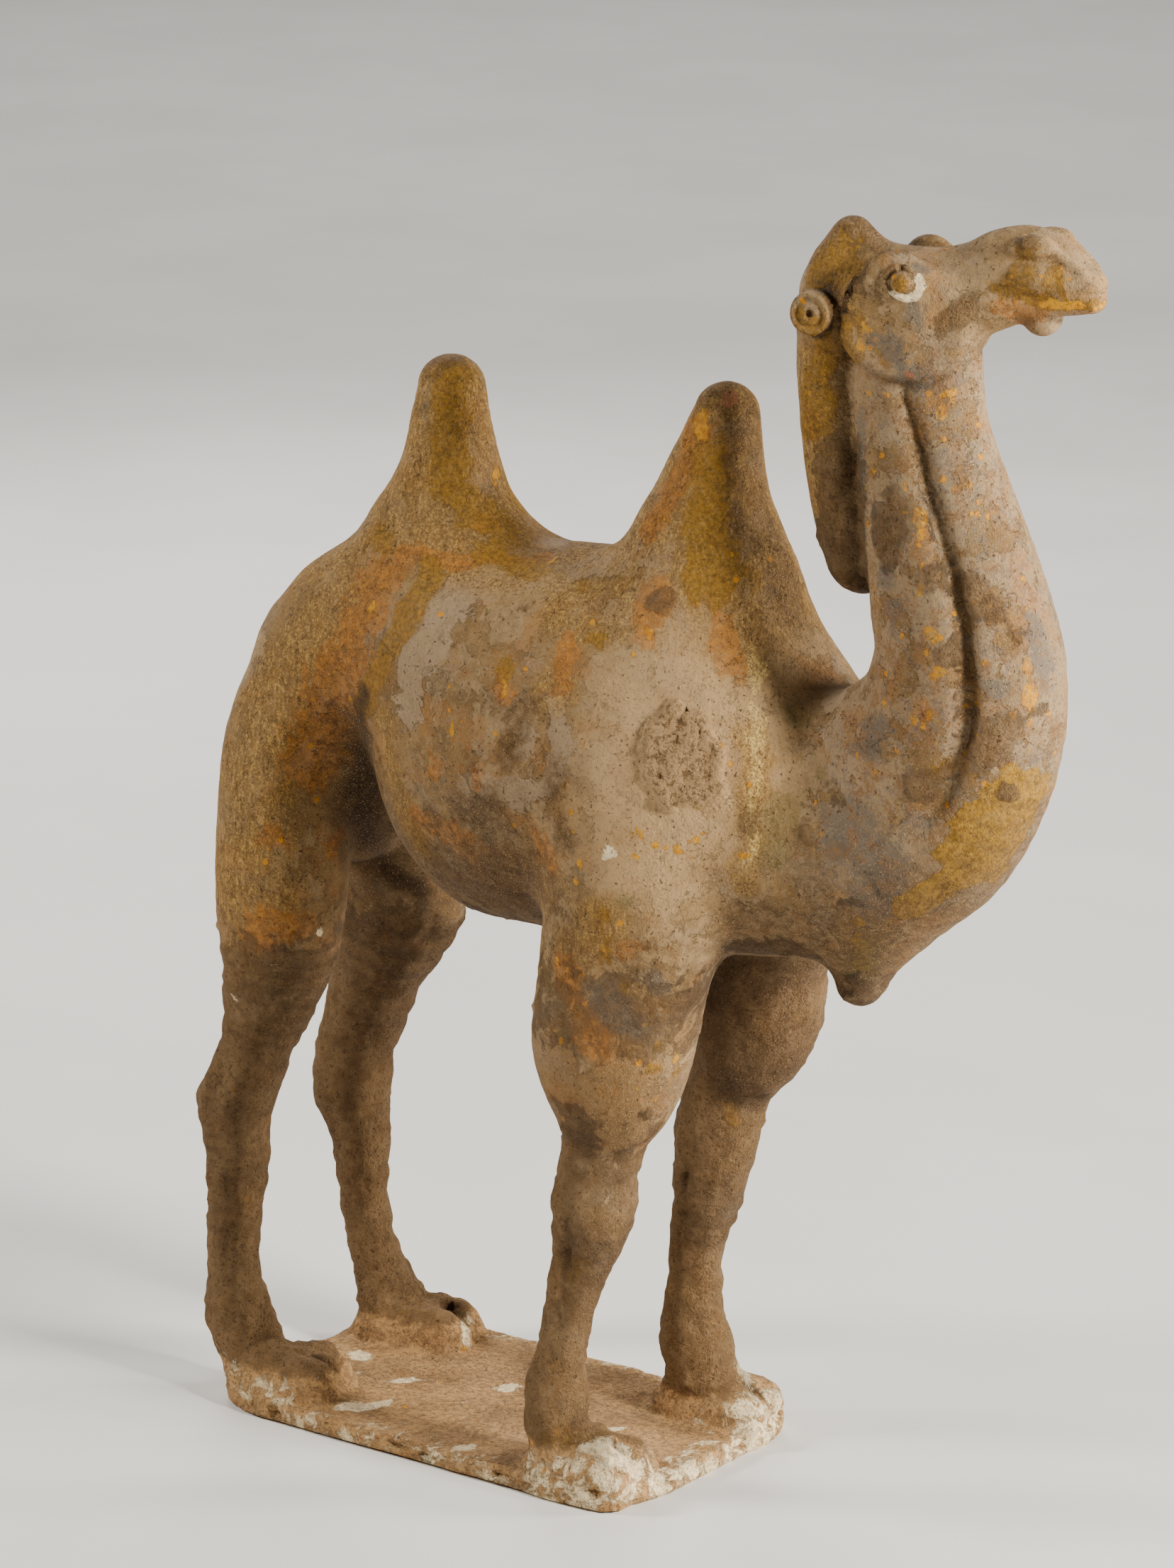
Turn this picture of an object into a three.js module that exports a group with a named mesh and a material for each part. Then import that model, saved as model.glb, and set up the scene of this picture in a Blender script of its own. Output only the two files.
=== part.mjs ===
// A terracotta figure of a two-humped camel, luted to a thin slab and fired with it as one piece.
// Millimetres. +Z is up, +X is where the nose points, and the origin is the middle of the slab's underside.
// The camel is described by stations, sections of its limbs at named places, which are filled out to
// round limbs and melted into each other. The skin of that form is then meshed and thinned.

import * as THREE from 'three';

// Driving dimensions
const SLAB_LENGTH = 160;
const SLAB_WIDTH = 95;
const SLAB_THICKNESS = 6;
const BACK_HEIGHT = 284.5;
const BELLY_HEIGHT = 166.5;
const REAR_HUMP_HEIGHT = 338;
const FRONT_HUMP_HEIGHT = 342;
const CREST_HEIGHT = 396;
const BARREL_HALF_WIDTH = 49;
const NOSE_REACH = 60;
const HEAD_TURN = THREE.MathUtils.degToRad(10);

// Mesh of the skin
const BODY_STEP = 2.6;
const HEAD_STEP = 1.3;
const HEAD_FROM_X = 108;
const HEAD_FROM_Z = 352;
const HEAD_HALF_WIDTH = 20;
const HEAD_MARGIN = 25;
const HEAD_WEIGHT = 90;
const MOST_TRIANGLES = 9900;
const FIRED_CLAY = { color: 0xa68a66, roughness: 0.93, metalness: 0 };

const NEAR = -1;
const FAR = 1;
const OUTSIDE = 200;

// Curves through stations

function splinePoint(before, from, to, after, t) {
  return from.map((start, column) => {
    const slope = to[column] - before[column];
    const bend = 2 * before[column] - 5 * start + 4 * to[column] - after[column];
    const twist = 3 * start - before[column] - 3 * to[column] + after[column];
    return 0.5 * (2 * start + slope * t + bend * t * t + twist * t * t * t);
  });
}

function smoothRows(stations, perSpan) {
  const last = stations.length - 1;
  const beyond = (end, inner) => end.map((value, column) => 2 * value - inner[column]);
  const all = [beyond(stations[0], stations[1]), ...stations, beyond(stations[last], stations[last - 1])];
  const rows = [];
  for (let span = 0; span < last; span += 1) {
    for (let step = 0; step < perSpan; step += 1) {
      rows.push(splinePoint(all[span], all[span + 1], all[span + 2], all[span + 3], step / perSpan));
    }
  }
  rows.push(stations[last]);
  return rows;
}

// Forms. Each is a function of x, y and z that gives a distance to its skin, negative inside.

function ellipsoidDistance(a, b, c, ra, rb, rc) {
  const near = Math.hypot(a / ra, b / rb, c / rc);
  const slope = Math.hypot(a / (ra * ra), b / (rb * rb), c / (rc * rc));
  return near * (near - 1) / Math.max(slope, 1e-6);
}

function roundedPair(first, second, edge) {
  const a = first + edge;
  const b = second + edge;
  return Math.min(Math.max(a, b), 0) + Math.hypot(Math.max(a, 0), Math.max(b, 0)) - edge;
}

function blend(a, b, width) {
  const overlap = Math.max(width - Math.abs(a - b), 0);
  return Math.min(a, b) - overlap * overlap / (4 * width);
}

function carve(form, tool, width) {
  return -blend(-form, tool, width);
}

function smoothStep(value, from, to) {
  const t = THREE.MathUtils.clamp((value - from) / (to - from), 0, 1);
  return t * t * (3 - 2 * t);
}

function boxAround(rows, margin) {
  const low = [0, 1, 2].map((axis) => Math.min(...rows.map((row) => row[axis])) - margin);
  const high = [0, 1, 2].map((axis) => Math.max(...rows.map((row) => row[axis])) + margin);
  return (x, y, z) => x > low[0] && y > low[1] && z > low[2] && x < high[0] && y < high[1] && z < high[2];
}

// A limb runs through stations [x, y, z, depth radius, side radius].
function limb(stations, perSpan = 8) {
  const rows = smoothRows(stations, perSpan);
  const widest = Math.max(...rows.map((row) => Math.max(row[3], row[4])));
  const isNear = boxAround(rows, widest + 45);
  const bones = rows.slice(1).map((to, index) => {
    const from = rows[index];
    const start = new THREE.Vector3(...from.slice(0, 3));
    const along = new THREE.Vector3(...to.slice(0, 3)).sub(start);
    const length = along.length();
    const axis = along.clone().divideScalar(length);
    const side = new THREE.Vector3(0, 1, 0).addScaledVector(axis, -axis.y).normalize();
    const deep = new THREE.Vector3().crossVectors(axis, side);
    return { start, along, length, axis, side, deep, from, to };
  });
  return (x, y, z) => {
    if (!isNear(x, y, z)) {
      return OUTSIDE;
    }
    let best = OUTSIDE;
    for (const bone of bones) {
      const { start, along, length, axis, side, deep, from, to } = bone;
      let dx = x - start.x;
      let dy = y - start.y;
      let dz = z - start.z;
      const run = (dx * axis.x + dy * axis.y + dz * axis.z) / length;
      const t = Math.min(Math.max(run, 0), 1);
      const depth = from[3] + (to[3] - from[3]) * t;
      const breadth = from[4] + (to[4] - from[4]) * t;
      dx -= along.x * t;
      dy -= along.y * t;
      dz -= along.z * t;
      const across = dx * side.x + dy * side.y + dz * side.z;
      const down = dx * deep.x + dy * deep.y + dz * deep.z;
      const beyond = dx * axis.x + dy * axis.y + dz * axis.z;
      const skin = ellipsoidDistance(across, down, beyond, breadth, depth, Math.min(depth, breadth));
      best = Math.min(best, skin);
    }
    return best;
  };
}

// A cord runs through stations [x, y, z, radius] and is used for ridges, and for cutting grooves.
function cord(stations, perSpan = 4) {
  const rows = smoothRows(stations, perSpan);
  const isNear = boxAround(rows, 18);
  return (x, y, z) => {
    if (!isNear(x, y, z)) {
      return OUTSIDE;
    }
    let best = OUTSIDE;
    for (let index = 1; index < rows.length; index += 1) {
      const [ax, ay, az, ar] = rows[index - 1];
      const [bx, by, bz, br] = rows[index];
      const [ux, uy, uz] = [bx - ax, by - ay, bz - az];
      const run = ((x - ax) * ux + (y - ay) * uy + (z - az) * uz) / (ux * ux + uy * uy + uz * uz);
      const t = Math.min(Math.max(run, 0), 1);
      const reach = Math.hypot(x - ax - ux * t, y - ay - uy * t, z - az - uz * t);
      best = Math.min(best, reach - ar - (br - ar) * t);
    }
    return best;
  };
}

function ball([cx, cy, cz], [rx, ry, rz], turn = 0) {
  const cos = Math.cos(turn);
  const sin = Math.sin(turn);
  return (x, y, z) => {
    const along = (x - cx) * cos + (y - cy) * sin;
    const across = (y - cy) * cos - (x - cx) * sin;
    return ellipsoidDistance(along, across, z - cz, rx, ry, rz);
  };
}

// Slab and feet

const SLAB_CORNER = 20;
const WORN_CORNER = 31;
const SLAB_EDGE = 2.5;

function slab(x, y, z) {
  const corner = x * y < 0 ? WORN_CORNER : SLAB_CORNER;
  const outline = roundedPair(Math.abs(x) - SLAB_LENGTH / 2, Math.abs(y) - SLAB_WIDTH / 2, corner);
  const level = Math.abs(z - SLAB_THICKNESS / 2) - SLAB_THICKNESS / 2;
  return roundedPair(outline, level, SLAB_EDGE);
}

const FOOT = { length: 41, width: 28, height: 16.5 };

// A broad pad with two toes
function foot(cx, cy, headingDegrees) {
  const heading = THREE.MathUtils.degToRad(headingDegrees);
  const [cos, sin] = [Math.cos(heading), Math.sin(heading)];
  const padRadii = [FOOT.length * 0.5, FOOT.width * 0.5, FOOT.height * 0.8];
  const pad = ball([cx, cy, SLAB_THICKNESS], padRadii, heading);
  const toes = [NEAR, FAR].map((side) => {
    const ahead = FOOT.length * 0.24;
    const apart = FOOT.width * 0.25 * side;
    const centre = [cx + cos * ahead - sin * apart, cy + sin * ahead + cos * apart, SLAB_THICKNESS];
    return ball(centre, [FOOT.length * 0.27, FOOT.width * 0.27, FOOT.height * 0.7], heading);
  });
  return (x, y, z) => toes.reduce((skin, toe) => blend(skin, toe(x, y, z), 3), pad(x, y, z));
}

const feet = [foot(-64, -31, 12), foot(-58, 28, 18), foot(56, -33, 0), foot(58, 31, 8)];

// Trunk

const barrelDepth = (BACK_HEIGHT - BELLY_HEIGHT) / 2;
const barrelMiddle = BELLY_HEIGHT + barrelDepth;
const barrel = limb([
  [2, 0, barrelMiddle - 2.5, barrelDepth - 1.5, BARREL_HALF_WIDTH - 7],
  [22, 0, barrelMiddle, barrelDepth, BARREL_HALF_WIDTH - 1],
  [50, 0, barrelMiddle + 1, barrelDepth, BARREL_HALF_WIDTH],
  [78, 0, barrelMiddle - 1.5, barrelDepth - 4, BARREL_HALF_WIDTH - 3],
  [99, 0, barrelMiddle - 11.5, barrelDepth - 16, BARREL_HALF_WIDTH - 12],
]);
const loin = limb([
  [-61, 0, 238, 22.5, 24],
  [-40, 0, 242, 28.5, 29],
  [-10, 0, 239, 38, 37],
]);
const rump = limb([
  [-46, 0, 241, 25.5, 27],
  [-62, 0, 228, 23, 26],
  [-70, 0, 206, 18, 20],
  [-68, 0, 186, 12, 16],
]);
const groin = limb([
  [-30, 0, 222, 30, 24],
  [-52, 0, 206, 26, 20],
  [-58, 0, 186, 14, 16],
]);
const rearHump = limb([
  [-22, 0, 250, 36, 30],
  [-21, 0, 274, 29, 24],
  [-20, 0, 290, 20.5, 18.5],
  [-19.5, 0, 305, 15, 14],
  [-18.8, 0, REAR_HUMP_HEIGHT - 10.5, 10.6, 9.8],
]);
const frontHump = limb([
  [70, 0, 246, 39, 32],
  [75, 0, 272, 32.5, 28],
  [76, 0, 290, 24.8, 21.5],
  [77.5, 0, 305, 18.2, 16.2],
  [79.6, 0, 318, 13.8, 13.2],
  [82.4, 0, FRONT_HUMP_HEIGHT - 9.5, 10, 10],
]);

// Legs, each from the trunk down to the foot

const nearHindLeg = limb([
  [-48, -13, 252, 20, 16],
  [-56, -19, 236, 20, 18],
  [-65, -23.5, 214, 19.5, 19.5],
  [-65, -26, 190, 21, 20],
  [-65, -28, 166, 21.5, 19],
  [-66.3, -29, 145, 17.5, 16],
  [-72, -31, 120, 11.4, 11.7],
  [-80.5, -32, 97, 11.5, 11.5],
  [-81, -32, 80, 9.8, 9.5],
  [-82, -32, 60, 8, 8],
  [-83, -32, 40, 8, 8],
  [-82, -31, 26, 10.5, 10],
  [-77, -31, 16, 9, 9.5],
]);
const nearHock = ball([-88, -32, 97], [6, 7, 8]);
const farHindLeg = limb([
  [-48, 13, 252, 20, 16],
  [-57, 19, 236, 21, 18],
  [-64, 24, 207, 21, 20],
  [-61.5, 26, 162, 25.5, 19.5],
  [-71, 27, 129, 15.7, 14],
  [-79.2, 28, 104, 12.2, 12],
  [-82.8, 28, 87, 12.5, 12],
  [-79.5, 28, 68, 8.8, 8.8],
  [-78, 28, 47, 7.5, 7.5],
  [-74, 28, 31, 7.8, 7.8],
  [-68, 28, 18, 10, 10],
]);
// Fur hangs down each upper foreleg like a sleeve, and the bare shank comes out below it.
const nearSleeve = limb([
  [74, -26, 226, 31, 25],
  [73, -29, 195, 30, 24],
  [68, -31, 165, 26.5, 22.5],
  [65, -32, 145, 25, 22],
  [65, -32, 130, 19, 18.5],
  [64, -33, 120, 11, 12],
]);
const farSleeve = limb([
  [76, 25, 226, 33, 25],
  [78, 28, 190, 30, 24],
  [76, 29, 158, 20.5, 20],
  [75, 30, 142, 19.5, 19],
  [71.5, 30, 130, 17, 17],
  [66, 30, 118, 11, 12],
]);
const nearShank = limb([
  [64, -33, 124, 13, 12.5],
  [62, -33, 112, 12, 12],
  [60, -33, 103, 11.5, 11.5],
  [59, -33, 92, 12.6, 12.3],
  [56, -34, 76, 9, 9],
  [51.5, -35, 60, 7.4, 7.4],
  [48.5, -36, 43, 7.2, 7.2],
  [46.5, -36, 30, 9.4, 9.2],
  [47.5, -36, 18, 8.5, 9],
]);
const farShank = limb([
  [67, 30, 124, 12.5, 12.5],
  [61.5, 30, 108, 13.2, 12.5],
  [58.5, 30, 92, 12.8, 12.5],
  [56, 30, 77, 10.5, 10.5],
  [52, 30, 60, 8.2, 8.2],
  [51, 30, 42, 8.6, 8.6],
  [51.5, 30, 29, 11, 10.5],
  [55, 30, 19, 10.5, 11],
]);

function trunkAndLegs(x, y, z) {
  const upper = smoothStep(z, 220, 260);
  let skin = blend(barrel(x, y, z), loin(x, y, z), 5 + 13 * upper);
  skin = blend(skin, rearHump(x, y, z), 16);
  skin = blend(skin, frontHump(x, y, z), 12);
  let hindquarters = blend(rump(x, y, z), groin(x, y, z), 8);
  const haunchWidth = 5 + 10 * smoothStep(z, 180, 215);
  for (const leg of [nearHindLeg, farHindLeg]) {
    hindquarters = blend(hindquarters, leg(x, y, z), haunchWidth);
  }
  hindquarters = blend(hindquarters, nearHock(x, y, z), 1);
  skin = blend(skin, hindquarters, 4 + 12 * upper);
  for (const sleeve of [nearSleeve, farSleeve]) {
    skin = blend(skin, sleeve(x, y, z), 9);
  }
  for (const shank of [nearShank, farShank]) {
    skin = blend(skin, shank(x, y, z), 2.5);
  }
  return skin;
}

// Neck, with the band of throat hair that ends in a tuft, and the mane that hangs free behind it

const neck = limb([
  [98, 0, 214, 40, 34],
  [124, 0, 212, 37, 32],
  [147.5, 0, 226, 37, 30],
  [163.5, 0, 247, 32.5, 27],
  [168.2, 0, 270, 28.8, 25],
  [163.5, 0, 292, 26.5, 22.5],
  [156.5, 0, 315, 23.3, 19.5],
  [150.5, 0, 338, 21, 16],
  [147.5, 0, 360, 21.5, 13],
]);
const throatTuft = limb([
  [139, 0, 195, 18, 17],
  [134.5, 0, 180, 11.5, 12],
  [132, 0, 168.5, 7.5, 7.5],
]);
const mane = limb([
  [123.5, 0, 374, 13, 12],
  [122.5, 0, 355, 12.5, 13],
  [125, 0, 330, 12.5, 13.5],
  [129, 0, 310, 13, 13],
  [131.3, 0, 297.5, 11.2, 11],
]);
const throatBandEdge = cord([
  [152.9, -12.6, 351.6, 0.8],
  [158, -14, 338.3, 1.6],
  [163.8, -15.8, 323.8, 2.1],
  [171.9, -17.8, 305.4, 2.4],
  [177.4, -19.2, 290.8, 2.6],
  [180.2, -20.5, 277.2, 2.6],
  [181, -21.9, 260.4, 2.6],
  [178.4, -23.4, 245.9, 2.4],
  [172.4, -25.3, 232.3, 2],
  [165.9, -26.6, 222.5, 0.6],
]);

// Head. Its own x runs from the neck's axis to the nose, and the head is turned a little to its left.

const HEAD_PIVOT_X = 147;
const face = limb([
  [-22, 0, 372, 15, 11],
  [-8, 0, 374, 15.5, 12.5],
  [4, 0, 375, 14.5, 12.5],
  [14, 0, 378.5, 12.7, 10.5],
  [22, 0, 382, 11.8, 9.3],
  [30, 0, 386, 12, 9.2],
  [37, 0, 387.3, 11.6, 9],
  [43, 0, 386, 9.9, 8.5],
  [49, 0, 384, 7.3, 7.6],
  [NOSE_REACH - 6.5, 0, 383.3, 5.4, 6.4],
]);
const jaw = limb([
  [6, 0, 367, 12.5, 11.5],
  [16, 0, 373.5, 9.5, 9],
  [30, 0, 377.5, 7, 7.5],
]);
const lowerLip = limb([
  [36, 0, 377.5, 4.3, 7],
  [48, 0, 378.2, 3.7, 6.8],
  [NOSE_REACH - 4.7, 0, 378.9, 3.3, 5.2],
]);
const mouth = cord([
  [38, -9.2, 381, 0.5],
  [46, -8.6, 382, 0.8],
  [53, -7.2, 382.2, 0.8],
  [NOSE_REACH - 2, -4, 382, 0.8],
  [NOSE_REACH, 0, 381.8, 0.8],
]);
const chin = ball([40, 0, 373.2], [5.6, 5.6, 5.2]);
const nostrilWing = ball([36.5, -7.6, 393.3], [5, 2.6, 3.2]);
const brow = cord([
  [-8, -13.5, 382.5, 2.2],
  [-3, -12.5, 385, 2.4],
  [3, -12, 385, 2.2],
  [8, -11.5, 383, 1.4],
]);
const eyelids = ball([3, -12, 381.5], [8, 3.8, 5.5]);
const eyeball = ball([2.6, -15.6, 383], [3.2, 2.8, 3.2]);
const crest = limb([
  [-24, 0, 366, 11, 12],
  [-22.5, 0, 380, 9.8, 9.5],
  [-20, 0, 388, 6.5, 7],
  [-19, 0, CREST_HEIGHT - 4.7, 4.8, 5],
]);
const forelock = limb([
  [-19, 0, CREST_HEIGHT - 5, 4.8, 5],
  [-10, 0, 386, 5, 8],
  [-1, 0, 383, 5.5, 10],
]);

const CHEEK = { x: 1.8, z: 370.4, length: 20, height: 17.4, halfWidth: 15.6, rim: 3.8 };

// The cheeks are the two faces of one upright disc, which thins towards the nose.
function cheeks(x, y, z) {
  const { length, height, halfWidth, rim } = CHEEK;
  const outline = ellipsoidDistance(x - CHEEK.x, z - CHEEK.z, 0, length, height, 1);
  const narrowing = 4.5 * smoothStep(x - CHEEK.x, 2, 20);
  return roundedPair(outline, Math.abs(y) - halfWidth + narrowing, rim);
}

const EAR = { x: -24.6, z: 371.3, radius: 6.4, inner: -8.2, outer: -17.4, ring: 3.8 };

// Each ear is a small round stud with a ring and a hole in its face.
function ear(x, y, z) {
  const spread = Math.hypot(x - EAR.x, z - EAR.z);
  const middle = (EAR.inner + EAR.outer) / 2;
  const stud = roundedPair(spread - EAR.radius, Math.abs(y - middle) - (EAR.inner - EAR.outer) / 2, 1.2);
  const ring = Math.hypot(spread - EAR.ring, y - EAR.outer) - 0.9;
  const hole = Math.hypot(spread, (y - EAR.outer) / 2) - 1.3;
  return carve(carve(stud, ring, 0.6), hole, 0.6);
}

function head(worldX, worldY, z) {
  const ahead = worldX - HEAD_PIVOT_X;
  const x = ahead * Math.cos(HEAD_TURN) + worldY * Math.sin(HEAD_TURN);
  const y = worldY * Math.cos(HEAD_TURN) - ahead * Math.sin(HEAD_TURN);
  const mirrored = -Math.abs(y);
  let skin = blend(face(x, y, z), jaw(x, y, z), 5);
  skin = blend(skin, cheeks(x, y, z), 4);
  skin = blend(skin, blend(crest(x, y, z), forelock(x, y, z), 5), 1.5);
  skin = blend(skin, brow(x, mirrored, z), 3);
  skin = blend(skin, eyelids(x, mirrored, z), 2);
  skin = blend(skin, eyeball(x, mirrored, z), 0.5);
  skin = blend(skin, chin(x, y, z), 3);
  skin = blend(skin, lowerLip(x, y, z), 1.5);
  skin = carve(skin, mouth(x, mirrored, z), 1);
  skin = blend(skin, nostrilWing(x, mirrored, z), 2.5);
  return blend(skin, ear(x, mirrored, z), 1.2);
}

// The whole figure

function camelOnSlab(x, y, z) {
  let skin = trunkAndLegs(x, y, z);
  skin = blend(skin, blend(neck(x, y, z), throatTuft(x, y, z), 8), 8);
  skin = carve(skin, throatBandEdge(x, -Math.abs(y), z), 2.5);
  if (x > HEAD_FROM_X - HEAD_MARGIN && z > HEAD_FROM_Z - HEAD_MARGIN) {
    skin = blend(skin, head(x, y, z), 1.5);
  }
  skin = blend(skin, mane(x, y, z), 2);
  const base = feet.reduce((form, pad) => blend(form, pad(x, y, z), 5), slab(x, y, z));
  return Math.max(blend(skin, base, 5), -z);
}

// Skin mesh: one vertex in each grid cell that the skin crosses, joined across the crossed grid edges

function gridLine(from, to, stepAt) {
  const line = [from];
  while (line[line.length - 1] < to) {
    const value = line[line.length - 1];
    line.push(value + stepAt(value));
  }
  return line;
}

const GRID = [
  gridLine(-110.3, 222, (x) => (x < HEAD_FROM_X ? BODY_STEP : HEAD_STEP)),
  gridLine(-62.1, 62, (y) => (Math.abs(y) < HEAD_HALF_WIDTH ? HEAD_STEP : BODY_STEP)),
  gridLine(-BODY_STEP * 1.5, 404, (z) => (z < HEAD_FROM_Z ? BODY_STEP : HEAD_STEP)),
];
const BLOCK = 4;
const PINCH_FILL = 0.2;
const CORNERS = [0, 1, 2, 3, 4, 5, 6, 7].map((code) => [code & 1, (code >> 1) & 1, code >> 2]);

function sampleNearSkin(field, lines) {
  const [nx, ny, nz] = lines.map((line) => line.length);
  const at = (i, j, k) => (i * ny + j) * nz + k;
  const values = new Float64Array(nx * ny * nz).fill(OUTSIDE);
  const known = new Uint8Array(values.length);
  const read = (i, j, k) => {
    const index = at(i, j, k);
    if (!known[index]) {
      known[index] = 1;
      values[index] = field(lines[0][i], lines[1][j], lines[2][k]);
    }
    return values[index];
  };
  const blockEnds = (count, start) => Math.min(start + BLOCK, count - 1);
  for (let i = 0; i < nx - 1; i += BLOCK) {
    for (let j = 0; j < ny - 1; j += BLOCK) {
      for (let k = 0; k < nz - 1; k += BLOCK) {
        const [ie, je, ke] = [blockEnds(nx, i), blockEnds(ny, j), blockEnds(nz, k)];
        const middle = read((i + ie) >> 1, (j + je) >> 1, (k + ke) >> 1);
        const spans = [lines[0][ie] - lines[0][i], lines[1][je] - lines[1][j], lines[2][ke] - lines[2][k]];
        const reach = Math.hypot(...spans);
        const farFromSkin = Math.abs(middle) > reach;
        for (let a = i; a <= ie; a += 1) {
          for (let b = j; b <= je; b += 1) {
            for (let c = k; c <= ke; c += 1) {
              if (!farFromSkin) {
                read(a, b, c);
              } else if (!known[at(a, b, c)]) {
                values[at(a, b, c)] = Math.sign(middle) * OUTSIDE;
              }
            }
          }
        }
      }
    }
  }
  return { values, at, size: [nx, ny, nz] };
}

// Where the skin would touch itself along an edge or at a point, the nearest outer grid point is filled in.
function fillPinches(values, at, size) {
  const steps = [at(1, 0, 0), at(0, 1, 0), at(0, 0, 1)];
  const fill = (places) => {
    const outer = places.filter((index) => values[index] >= 0);
    const nearest = outer.reduce((a, b) => (values[b] < values[a] ? b : a));
    values[nearest] = -PINCH_FILL;
  };
  const faces = [[0, 1], [1, 2], [2, 0]];
  const diagonals = [0, 1, 2, 3];
  let filled = true;
  while (filled) {
    filled = false;
    for (let i = 0; i < size[0] - 1; i += 1) {
      for (let j = 0; j < size[1] - 1; j += 1) {
        for (let k = 0; k < size[2] - 1; k += 1) {
          const here = at(i, j, k);
          for (const [a, b] of faces) {
            const square = [here, here + steps[a], here + steps[a] + steps[b], here + steps[b]];
            const [p, q, r, s] = square.map((index) => values[index] < 0);
            if (p === r && q === s && p !== q) {
              fill(square);
              filled = true;
            }
          }
          const cube = CORNERS.map(([a, b, c]) => here + a * steps[0] + b * steps[1] + c * steps[2]);
          const inner = cube.map((index) => values[index] < 0);
          const count = inner.filter(Boolean).length;
          const rare = count === 2;
          const twoAlone = rare || count === 6;
          if (twoAlone && diagonals.some((code) => inner[code] === rare && inner[7 - code] === rare)) {
            fill(cube);
            filled = true;
          }
        }
      }
    }
  }
}

function crossingPoint(values, at, lines, cell) {
  const sum = [0, 0, 0];
  let crossings = 0;
  for (const corner of CORNERS) {
    for (let axis = 0; axis < 3; axis += 1) {
      if (corner[axis] === 0) {
        const from = cell.map((index, c) => index + corner[c]);
        const to = from.map((index, c) => (c === axis ? index + 1 : index));
        const a = values[at(...from)];
        const b = values[at(...to)];
        if (a < 0 !== b < 0) {
          const share = a / (a - b);
          for (let c = 0; c < 3; c += 1) {
            sum[c] += lines[c][from[c]] + (lines[c][to[c]] - lines[c][from[c]]) * share;
          }
          crossings += 1;
        }
      }
    }
  }
  return crossings ? sum.map((value) => value / crossings) : null;
}

function skinMesh(field, lines) {
  const { values, at, size } = sampleNearSkin(field, lines);
  fillPinches(values, at, size);
  const points = [];
  const pointOf = new Int32Array(values.length).fill(-1);
  const faces = [];
  const [nx, ny, nz] = size;
  for (let i = 0; i < nx - 1; i += 1) {
    for (let j = 0; j < ny - 1; j += 1) {
      for (let k = 0; k < nz - 1; k += 1) {
        const inside = CORNERS.filter(([a, b, c]) => values[at(i + a, j + b, k + c)] < 0).length;
        if (inside > 0 && inside < 8) {
          pointOf[at(i, j, k)] = points.length;
          points.push(crossingPoint(values, at, lines, [i, j, k]));
        }
      }
    }
  }
  const steps = [at(1, 0, 0) - at(0, 0, 0), at(0, 1, 0) - at(0, 0, 0), at(0, 0, 1) - at(0, 0, 0)];
  for (let i = 1; i < nx - 1; i += 1) {
    for (let j = 1; j < ny - 1; j += 1) {
      for (let k = 1; k < nz - 1; k += 1) {
        const here = at(i, j, k);
        for (let axis = 0; axis < 3; axis += 1) {
          const startsInside = values[here] < 0;
          if (startsInside !== values[here + steps[axis]] < 0) {
            const u = steps[(axis + 1) % 3];
            const v = steps[(axis + 2) % 3];
            const quad = [here - u - v, here - v, here, here - u].map((index) => pointOf[index]);
            const [a, b, c, d] = startsInside ? quad : quad.reverse();
            faces.push([a, b, c], [a, c, d]);
          }
        }
      }
    }
  }
  return { points, faces };
}

// Thinning: the edge whose removal moves the skin least is closed up first, by its summed plane errors.

function planeError(points, face) {
  const [a, b, c] = face.map((index) => new THREE.Vector3(...points[index]));
  const normal = b.clone().sub(a).cross(c.clone().sub(a));
  const area = normal.length() / 2;
  normal.normalize();
  const { x, y, z } = normal;
  const w = -normal.dot(a);
  const weight = area * detailWeight(points[face[0]]);
  return [x * x, x * y, x * z, x * w, y * y, y * z, y * w, z * z, z * w, w * w].map((term) => term * weight);
}

function detailWeight([x, , z]) {
  return x > HEAD_FROM_X && z > HEAD_FROM_Z ? HEAD_WEIGHT : 1;
}

function errorAt(q, [x, y, z]) {
  return q[0] * x * x + 2 * q[1] * x * y + 2 * q[2] * x * z + 2 * q[3] * x + q[4] * y * y
    + 2 * q[5] * y * z + 2 * q[6] * y + q[7] * z * z + 2 * q[8] * z + q[9];
}

function bestPoint(q, from, to) {
  const middle = from.map((value, axis) => (value + to[axis]) / 2);
  const determinant = q[0] * (q[4] * q[7] - q[5] * q[5]) - q[1] * (q[1] * q[7] - q[5] * q[2])
    + q[2] * (q[1] * q[5] - q[4] * q[2]);
  const choices = [from, to, middle];
  if (Math.abs(determinant) > 1e-4) {
    const solved = new THREE.Matrix3().set(q[0], q[1], q[2], q[1], q[4], q[5], q[2], q[5], q[7]).invert();
    const point = new THREE.Vector3(-q[3], -q[6], -q[8]).applyMatrix3(solved).toArray();
    const reach = Math.hypot(...from.map((value, axis) => value - to[axis]));
    if (Math.hypot(...point.map((value, axis) => value - middle[axis])) < reach) {
      choices.push(point);
    }
  }
  const errors = choices.map((choice) => errorAt(q, choice));
  const least = errors.indexOf(Math.min(...errors));
  return { point: choices[least], error: Math.max(errors[least], 0) };
}

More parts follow.
